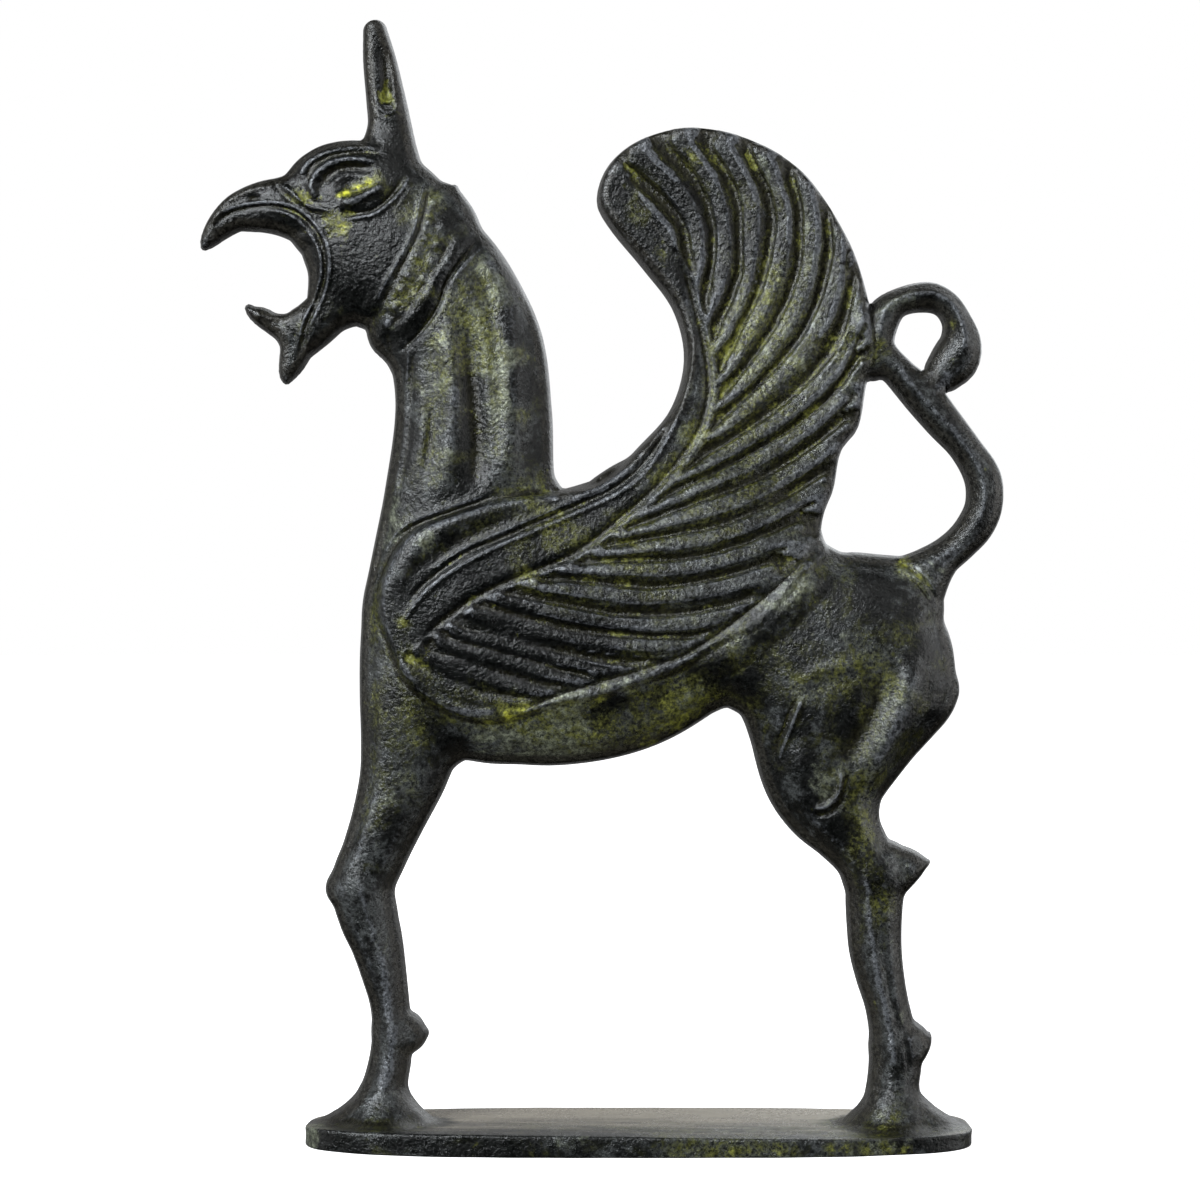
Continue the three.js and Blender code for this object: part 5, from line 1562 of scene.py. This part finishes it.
def make_patinated_bronze(finish):
    """Sand-cast bronze under a near-black patina with slate, olive and pale green clouds,
    dark grooves that hold patina and, between the feathers, painted shade, yellow-green dust,
    brighter rubbed edges with a painted highlight on the feathers' edges, patches of painted shade
    and highlight, and a plinth top brightened by rubbing and a painted reflection."""
    roughness = finish.roughness
    attributes = (
        "fine_hollow", "broad_hollow", "patina", "tone", "rim", "slope", "top_wear",
    )
    return node_material("patinated_bronze", {
        "place": ("ShaderNodeTexCoord", {}, {}),
        **{name: ("ShaderNodeAttribute", {"attribute_name": name}, {}) for name in attributes},
        "clouds": grain(60, 8, 0.68, 0.7),
        "blotches": grain(170, 8, 0.72, 0.3, 1.7),
        "washes": grain(95, 8, 0.7, 0.5, 4.1),
        "olive_clouds": grain(80, 9, 0.74, 0.6, 7.3),
        "spots": grain(330, 7, 0.78, 0.3, 9.9),
        "speckle": grain(1500, 6, 0.8, 0, 2.2),
        "moss": grain(620, 8, 0.74, 0.25, 12.3),
        "sand": grain(1500, 4, 0.62, 0.1, 5.5),
        "dimples": grain(480, 3, 0.5, 0, 8.8),
        "grit": weighted("speckle.0", 0.6, "moss.0"),
        # The tone adds painted shade and painted highlights to the near-black and pale patina,
        # here and below
        "black_tone": weighted("tone.Fac", 0.42, "blotches.0"),
        "black_sum": weighted("clouds.0", 0.7, "black_tone.0"),
        "black_moss": weighted("grit.0", 0.75, "black_sum.0"),
        "black_share": spread_range("black_moss.0", 1.40, 1.53),
        "black_mix": colour_mix("black_share.Result", finish.slate, finish.dark),
        "pale_tone": weighted("tone.Fac", -0.3, "washes.0"),
        "pale_share": spread_range("pale_tone.0", 0.55, 0.64, 0, 0.9),
        "pale_break": spread_range("grit.0", 0.92, 0.74, 0.15, 1),
        "pale_cover": arithmetic("MULTIPLY", "pale_share.Result", "pale_break.Result"),
        "pale_mix": colour_mix("pale_cover.0", "black_mix.2", finish.pale),
        "olive_patina": weighted("patina.Fac", 0.30, "olive_clouds.0"),
        "olive_hollow": weighted("broad_hollow.Fac", 0.08, "olive_patina.0"),
        "olive_tone": weighted("tone.Fac", -0.22, "olive_hollow.0"),
        "olive_share": spread_range("olive_tone.0", 0.40, 0.64, 0, 0.95),
        "moss_share": spread_range("grit.0", 0.70, 0.88, 0.1, 1),
        "olive_cover": arithmetic("MULTIPLY", "olive_share.Result", "moss_share.Result"),
        "olive_mix": colour_mix("olive_cover.0", "pale_mix.2", finish.olive),
        # Olive-brown on the feather slopes: patina, and painted shade
        "slope_break": spread_range("grit.0", 0.95, 0.7, 0.45, 0.95),
        "slope_share": arithmetic("MULTIPLY", "slope.Fac", "slope_break.Result"),
        "slope_mix": colour_mix("slope_share.0", "olive_mix.2", finish.slope),
        "rim_noise": weighted("washes.0", 0.5, "rim.Fac"),
        "rim_share": spread_range("rim_noise.0", 0.5, 1.3, 0, 0.85),
        "rim_mix": colour_mix("rim_share.Result", "slope_mix.2", finish.rim),
        # Dark hollows: patina in them, and painted shade in the grooves between feathers
        "groove_noise": weighted("spots.0", 0.25, "fine_hollow.Fac"),
        "groove_share": spread_range("groove_noise.0", 0.17, 0.30, 0, 0.9),
        "groove_mix": colour_mix("groove_share.Result", "rim_mix.2", finish.groove),
        "dust_patina": weighted("patina.Fac", 0.30, "spots.0"),
        "dust_hollow": weighted("fine_hollow.Fac", 0.30, "dust_patina.0"),
        "dust_share": spread_range("dust_hollow.0", 0.62, 0.78, 0, 0.9),
        "bright_share": spread_range("patina.Fac", 0.8, 1.4),
        "bright_mix": colour_mix("bright_share.Result", finish.dust, finish.bright),
        "dust_mix": colour_mix("dust_share.Result", "groove_mix.2", "bright_mix.2"),
        # Lighter ridges: rubbed wear, and a painted highlight on the feathers' edges
        "edge_noise": weighted("speckle.0", -0.45, "fine_hollow.Fac"),
        "edge_share": spread_range("edge_noise.0", -0.36, -0.54, 0, 0.6),
        "edge_mix": colour_mix("edge_share.Result", "dust_mix.2", finish.edge),
        "speckle_tone": spread_range("speckle.0", 0.38, 0.63, 0.2, 2.0),
        "speckled": colour_mix(1, "edge_mix.2", "speckle_tone.Result", "MULTIPLY"),
        "streak_place": (
            "ShaderNodeMapping", {}, {"Vector": "place.Object", "Scale": (0.12, 1, 1)},
        ),
        "streaks": grain(420, 7, 0.72, 0.4, 3.1, "streak_place.0"),
        # The plinth's top: rubbed streaks and a painted reflection brightening it
        "wear_sum": weighted("top_wear.Fac", 0.8, "streaks.0"),
        "wear_share": spread_range("wear_sum.0", 0.64, 1.14, 0, 0.94),
        "wear_mix": colour_mix("wear_share.Result", "speckled.2", finish.rubbed_top_and_reflection),
        "gloss_noise": spread_range("blotches.0", 0.35, 0.66, roughness - 0.08, roughness + 0.12),
        "gloss_dust": weighted("dust_share.Result", 0.25, "gloss_noise.Result"),
        "gloss_tone": spread_range("tone.Fac", 0.1, 0.8, 0, -0.08),
        "gloss": arithmetic("ADD", "gloss_dust.0", "gloss_tone.Result"),
        "metal_share": spread_range("dust_share.Result", 0, 1, 0.3, 0.05),
        "grain_sum": weighted("dimples.0", 0.4, "sand.0"),
        "grain_bump": (
            "ShaderNodeBump", {},
            {"Height": "grain_sum.0", "Strength": 1.0, "Distance": finish.grain_depth},
        ),
        "surface": (
            "ShaderNodeBsdfPrincipled", {},
            {
                "Base Color": "wear_mix.2", "Metallic": "metal_share.Result",
                "Roughness": "gloss.0", "Normal": "grain_bump.Normal", "IOR": 1.5,
                "Specular IOR Level": 0.5, "Coat Weight": 0.35, "Coat Roughness": 0.17,
                "Coat IOR": 1.5, "Coat Normal": "grain_bump.Normal",
            },
        ),
        "output": ("ShaderNodeOutputMaterial", {}, {0: "surface.0"}),
    })


def make_floor_material(stage):
    """A pale floor that brightens away from the statue until it meets the white surroundings."""
    return node_material("pale_floor", {
        "place": ("ShaderNodeTexCoord", {}, {}),
        "distance": ("ShaderNodeVectorMath", {"operation": "LENGTH"}, {0: "place.Object"}),
        "glow": spread_range("distance.Value", 0.08, 0.5, stage.floor_glow, 1.05),
        "surface": (
            "ShaderNodeBsdfPrincipled", {},
            {
                "Base Color": (*stage.floor_colour, 1), "Roughness": 0.9,
                "Specular IOR Level": 0.1, "Emission Color": (1, 1, 1, 1),
                "Emission Strength": "glow.Result",
            },
        ),
        "output": ("ShaderNodeOutputMaterial", {}, {0: "surface.0"}),
    })


def size_property(name, description, default):
    """A length property in metres."""
    return FloatProperty(
        name=name, description=description, default=default, min=0.0001, precision=5,
        subtype="DISTANCE", unit="LENGTH",
    )


def colour_property(name, description, default):
    """A colour property."""
    return FloatVectorProperty(
        name=name, description=description, default=default, min=0, max=1, size=3,
        subtype="COLOR",
    )


def light_property(name, description, default):
    """A light's power in watts."""
    return FloatProperty(
        name=name, description=description, default=default, min=0, unit="POWER",
    )


class GriffinSizes(PropertyGroup):
    """The griffin's sizes."""

    figure_height: size_property("Figure height", "From the plinth's top to the ear tip", 0.177)
    figure_thickness: size_property("Figure thickness", "Across the haunch", 0.018)
    edge_thickness: size_property("Edge thickness", "Across the figure's rim", 0.0056)
    wing_root_thickness: size_property("Wing root thickness", "Across the wing's root", 0.015)
    wing_tip_thickness: size_property("Wing tip thickness", "Across the wing's tip", 0.0076)
    feather_depth: size_property("Feather depth", "From a feather down to its groove", 0.00125)
    plinth_length: size_property("Plinth length", "From end to end", 0.1064)
    plinth_depth: size_property(
        "Plinth depth", "From front to back", round(STATUE_HIGH.y - STATUE_LOW.y, 5)
    )
    plinth_thickness: size_property("Plinth thickness", "From underside to top", 0.0026)
    rim_mesh: size_property("Rim mesh", "Between points along the outline", 0.0005)
    head_mesh: size_property("Head mesh", "Between points on the head and neck", 0.00042)
    wing_mesh: size_property("Wing mesh", "Between points on the wing", 0.00045)
    body_mesh: size_property("Body mesh", "Between points on the body and legs", 0.00062)


class GriffinFinish(PropertyGroup):
    """The bronze's finish."""

    dark: colour_property("Dark patina", "The near-black of most of it", (0.0065, 0.0072, 0.0068))
    slate: colour_property("Slate patina", "Clouds of blue-grey", (0.046, 0.050, 0.050))
    pale: colour_property("Pale patina", "Clouds of pale grey-green", (0.172, 0.188, 0.135))
    olive: colour_property("Olive patina", "The green of the mottling", (0.082, 0.086, 0.020))
    # Olive patina on the feather slopes, darkened as painted shade
    slope: colour_property("Feather slopes", "The olive-brown of them", (0.034, 0.035, 0.012))
    # Dark patina in the hollows, and painted shade in the grooves between feathers
    groove: colour_property("Grooves", "The brown-black of the grooves", (0.012, 0.0115, 0.006))
    rim: colour_property("Rim", "The brown-grey along the rim", (0.027, 0.025, 0.020))
    dust: colour_property("Green dust", "The yellow-green spots", (0.125, 0.132, 0.018))
    bright: colour_property("Bright dust", "The yellow left in the eye", (0.46, 0.47, 0.025))
    # Rubbed wear on ridges, and a painted highlight on the feathers' edges
    edge: colour_property("Edges", "Where hands have rubbed it", (0.115, 0.123, 0.136))
    # Rubbed wear on the plinth's top, brightened as a painted reflection
    rubbed_top_and_reflection: colour_property("Worn top", "The plinth's beige-grey top", (0.49, 0.438, 0.353))
    roughness: FloatProperty(
        name="Roughness", description="The patina's middle roughness", default=0.28, min=0,
        max=1, subtype="FACTOR",
    )
    grain_depth: size_property("Grain depth", "How deep the sand-cast grain is", 0.00025)


class GriffinStage(PropertyGroup):
    """The floor and lights."""

    floor_colour: colour_property("Floor colour", "The pale floor", (0.85, 0.85, 0.85))
    floor_glow: FloatProperty(
        name="Floor glow", description="The floor's own light at the statue", default=0.96,
        min=0, max=2,
    )
    key_light: light_property("Key light", "The broad light from the upper left", 12.6)
    fill_light: light_property("Fill light", "The dim light from above in front", 1.9)
    left_light: light_property("Left light", "The soft light from the left", 1.6)
    right_light: light_property("Right light", "The soft light from the right", 3.8)
    bounce_light: light_property("Bounce light", "What the floor throws up in front", 2.7)
    back_light: light_property("Back light", "The white light from behind", 3)
    far_side_light: light_property(
        "Far side light", "The broad light on the side away from the camera", 4.2
    )


def link_piece(name, mesh, material):
    """Adds an object with one material to the scene."""
    mesh.materials.append(material)
    piece = bpy.data.objects.new(name, mesh)
    bpy.context.scene.collection.objects.link(piece)
    return piece


def add_area_light(name, place, width, height, power, colour):
    """Adds a soft rectangular light that faces the statue and that the camera doesn't see."""
    light = bpy.data.lights.new(name, "AREA")
    light.shape = "RECTANGLE"
    light.size, light.size_y = width, height
    light.energy, light.color = power, colour
    lamp = bpy.data.objects.new(name, light)
    lamp.location = place
    towards = Vector((0, 0, LIGHTS_AIM)) - Vector(place)
    lamp.rotation_euler = towards.to_track_quat("-Z", "Y").to_euler()
    lamp.visible_camera = False
    bpy.context.scene.collection.objects.link(lamp)
    return lamp


class GRIFFIN_OT_add_casting(Operator):
    """Models the griffin and its plinth as one bronze casting"""

    bl_idname = "griffin.add_casting"
    bl_label = "Add Casting"
    bl_options = {"REGISTER", "UNDO"}

    def execute(self, context):
        mesh = make_statue(context.scene.griffin_sizes)
        bronze = make_patinated_bronze(context.scene.griffin_finish)
        casting = link_piece("griffin_casting", mesh, bronze)
        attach(casting, "root")
        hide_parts("griffin_statue")
        return {"FINISHED"}


class GRIFFIN_OT_add_stage(Operator):
    """Sets the pale floor, the soft lights and the camera"""

    bl_idname = "griffin.add_stage"
    bl_label = "Add Stage"
    bl_options = {"REGISTER", "UNDO"}

    def execute(self, context):
        scene, stage = context.scene, context.scene.griffin_stage
        radius, corners = 4, 64
        angle = np.linspace(0, 2 * np.pi, corners, endpoint=False)
        rim = np.column_stack([np.cos(angle), np.sin(angle), 0 * angle]) * radius
        floor_mesh = bpy.data.meshes.new("floor")
        floor_mesh.from_pydata(rim.tolist(), [], [list(range(corners))])
        floor = link_piece("floor", floor_mesh, make_floor_material(stage))
        floor.visible_diffuse = floor.visible_glossy = False
        world = bpy.data.worlds.new("white_surroundings")
        world.use_nodes = True
        world.node_tree.nodes["Background"].inputs["Color"].default_value = (1, 1, 1, 1)
        world.cycles_visibility.diffuse = world.cycles_visibility.glossy = False
        scene.world = world
        cool, white = (0.93, 0.97, 1), (1, 1, 1)
        add_area_light("key", (-0.62, -0.75, 0.62), 0.42, 0.42, stage.key_light, cool)
        add_area_light("fill", (0.15, -0.8, 0.9), 1.2, 0.8, stage.fill_light, white)
        bounce = add_area_light("bounce", (0, -0.5, 0.004), 1.2, 0.5, stage.bounce_light, white)
        bounce.visible_glossy = False
        add_area_light("left", (-1.05, -0.1, 0.2), 0.6, 1, stage.left_light, white)
        add_area_light("right", (1.05, -0.1, 0.2), 0.6, 1, stage.right_light, white)
        add_area_light("back", (0, 1, 0.3), 2.4, 1.6, stage.back_light, white)
        add_area_light("far_side", (0.55, 0.9, 0.65), 1.1, 1.1, stage.far_side_light, cool)
        camera = bpy.data.cameras.new("camera")
        camera.sensor_width, camera.lens = 36, 84.375
        camera.clip_start = 0.01
        viewer = bpy.data.objects.new("camera", camera)
        viewer.location = (-0.00616, -0.45, 0.0864)
        viewer.rotation_euler = (math.pi / 2, 0, 0)
        scene.collection.objects.link(viewer)
        scene.camera = viewer
        scene.view_settings.view_transform = "Standard"
        return {"FINISHED"}


class GRIFFIN_PT_statue(Panel):
    """The griffin statue's sizes, finish and stage"""

    bl_label = "Griffin Statue"
    bl_idname = "GRIFFIN_PT_statue"
    bl_space_type = "VIEW_3D"
    bl_region_type = "UI"
    bl_category = "Griffin"

    def draw(self, context):
        for title, settings in (
            ("Sizes", context.scene.griffin_sizes),
            ("Finish", context.scene.griffin_finish),
            ("Stage", context.scene.griffin_stage),
        ):
            box = self.layout.box()
            box.label(text=title)
            for name in settings.__annotations__:
                box.prop(settings, name)
        self.layout.operator(GRIFFIN_OT_add_casting.bl_idname)
        self.layout.operator(GRIFFIN_OT_add_stage.bl_idname)


CLASSES = (
    GriffinSizes, GriffinFinish, GriffinStage, GRIFFIN_OT_add_casting, GRIFFIN_OT_add_stage,
    GRIFFIN_PT_statue,
)


def register():
    for cls in CLASSES:
        bpy.utils.register_class(cls)
    bpy.types.Scene.griffin_sizes = PointerProperty(type=GriffinSizes)
    bpy.types.Scene.griffin_finish = PointerProperty(type=GriffinFinish)
    bpy.types.Scene.griffin_stage = PointerProperty(type=GriffinStage)


def unregister():
    del bpy.types.Scene.griffin_stage
    del bpy.types.Scene.griffin_finish
    del bpy.types.Scene.griffin_sizes
    for cls in reversed(CLASSES):
        bpy.utils.unregister_class(cls)


def main():
    """Makes the casting and the stage."""
    register()
    bpy.ops.griffin.add_casting()
    bpy.ops.griffin.add_stage()


if __name__ == "__main__":
    main()
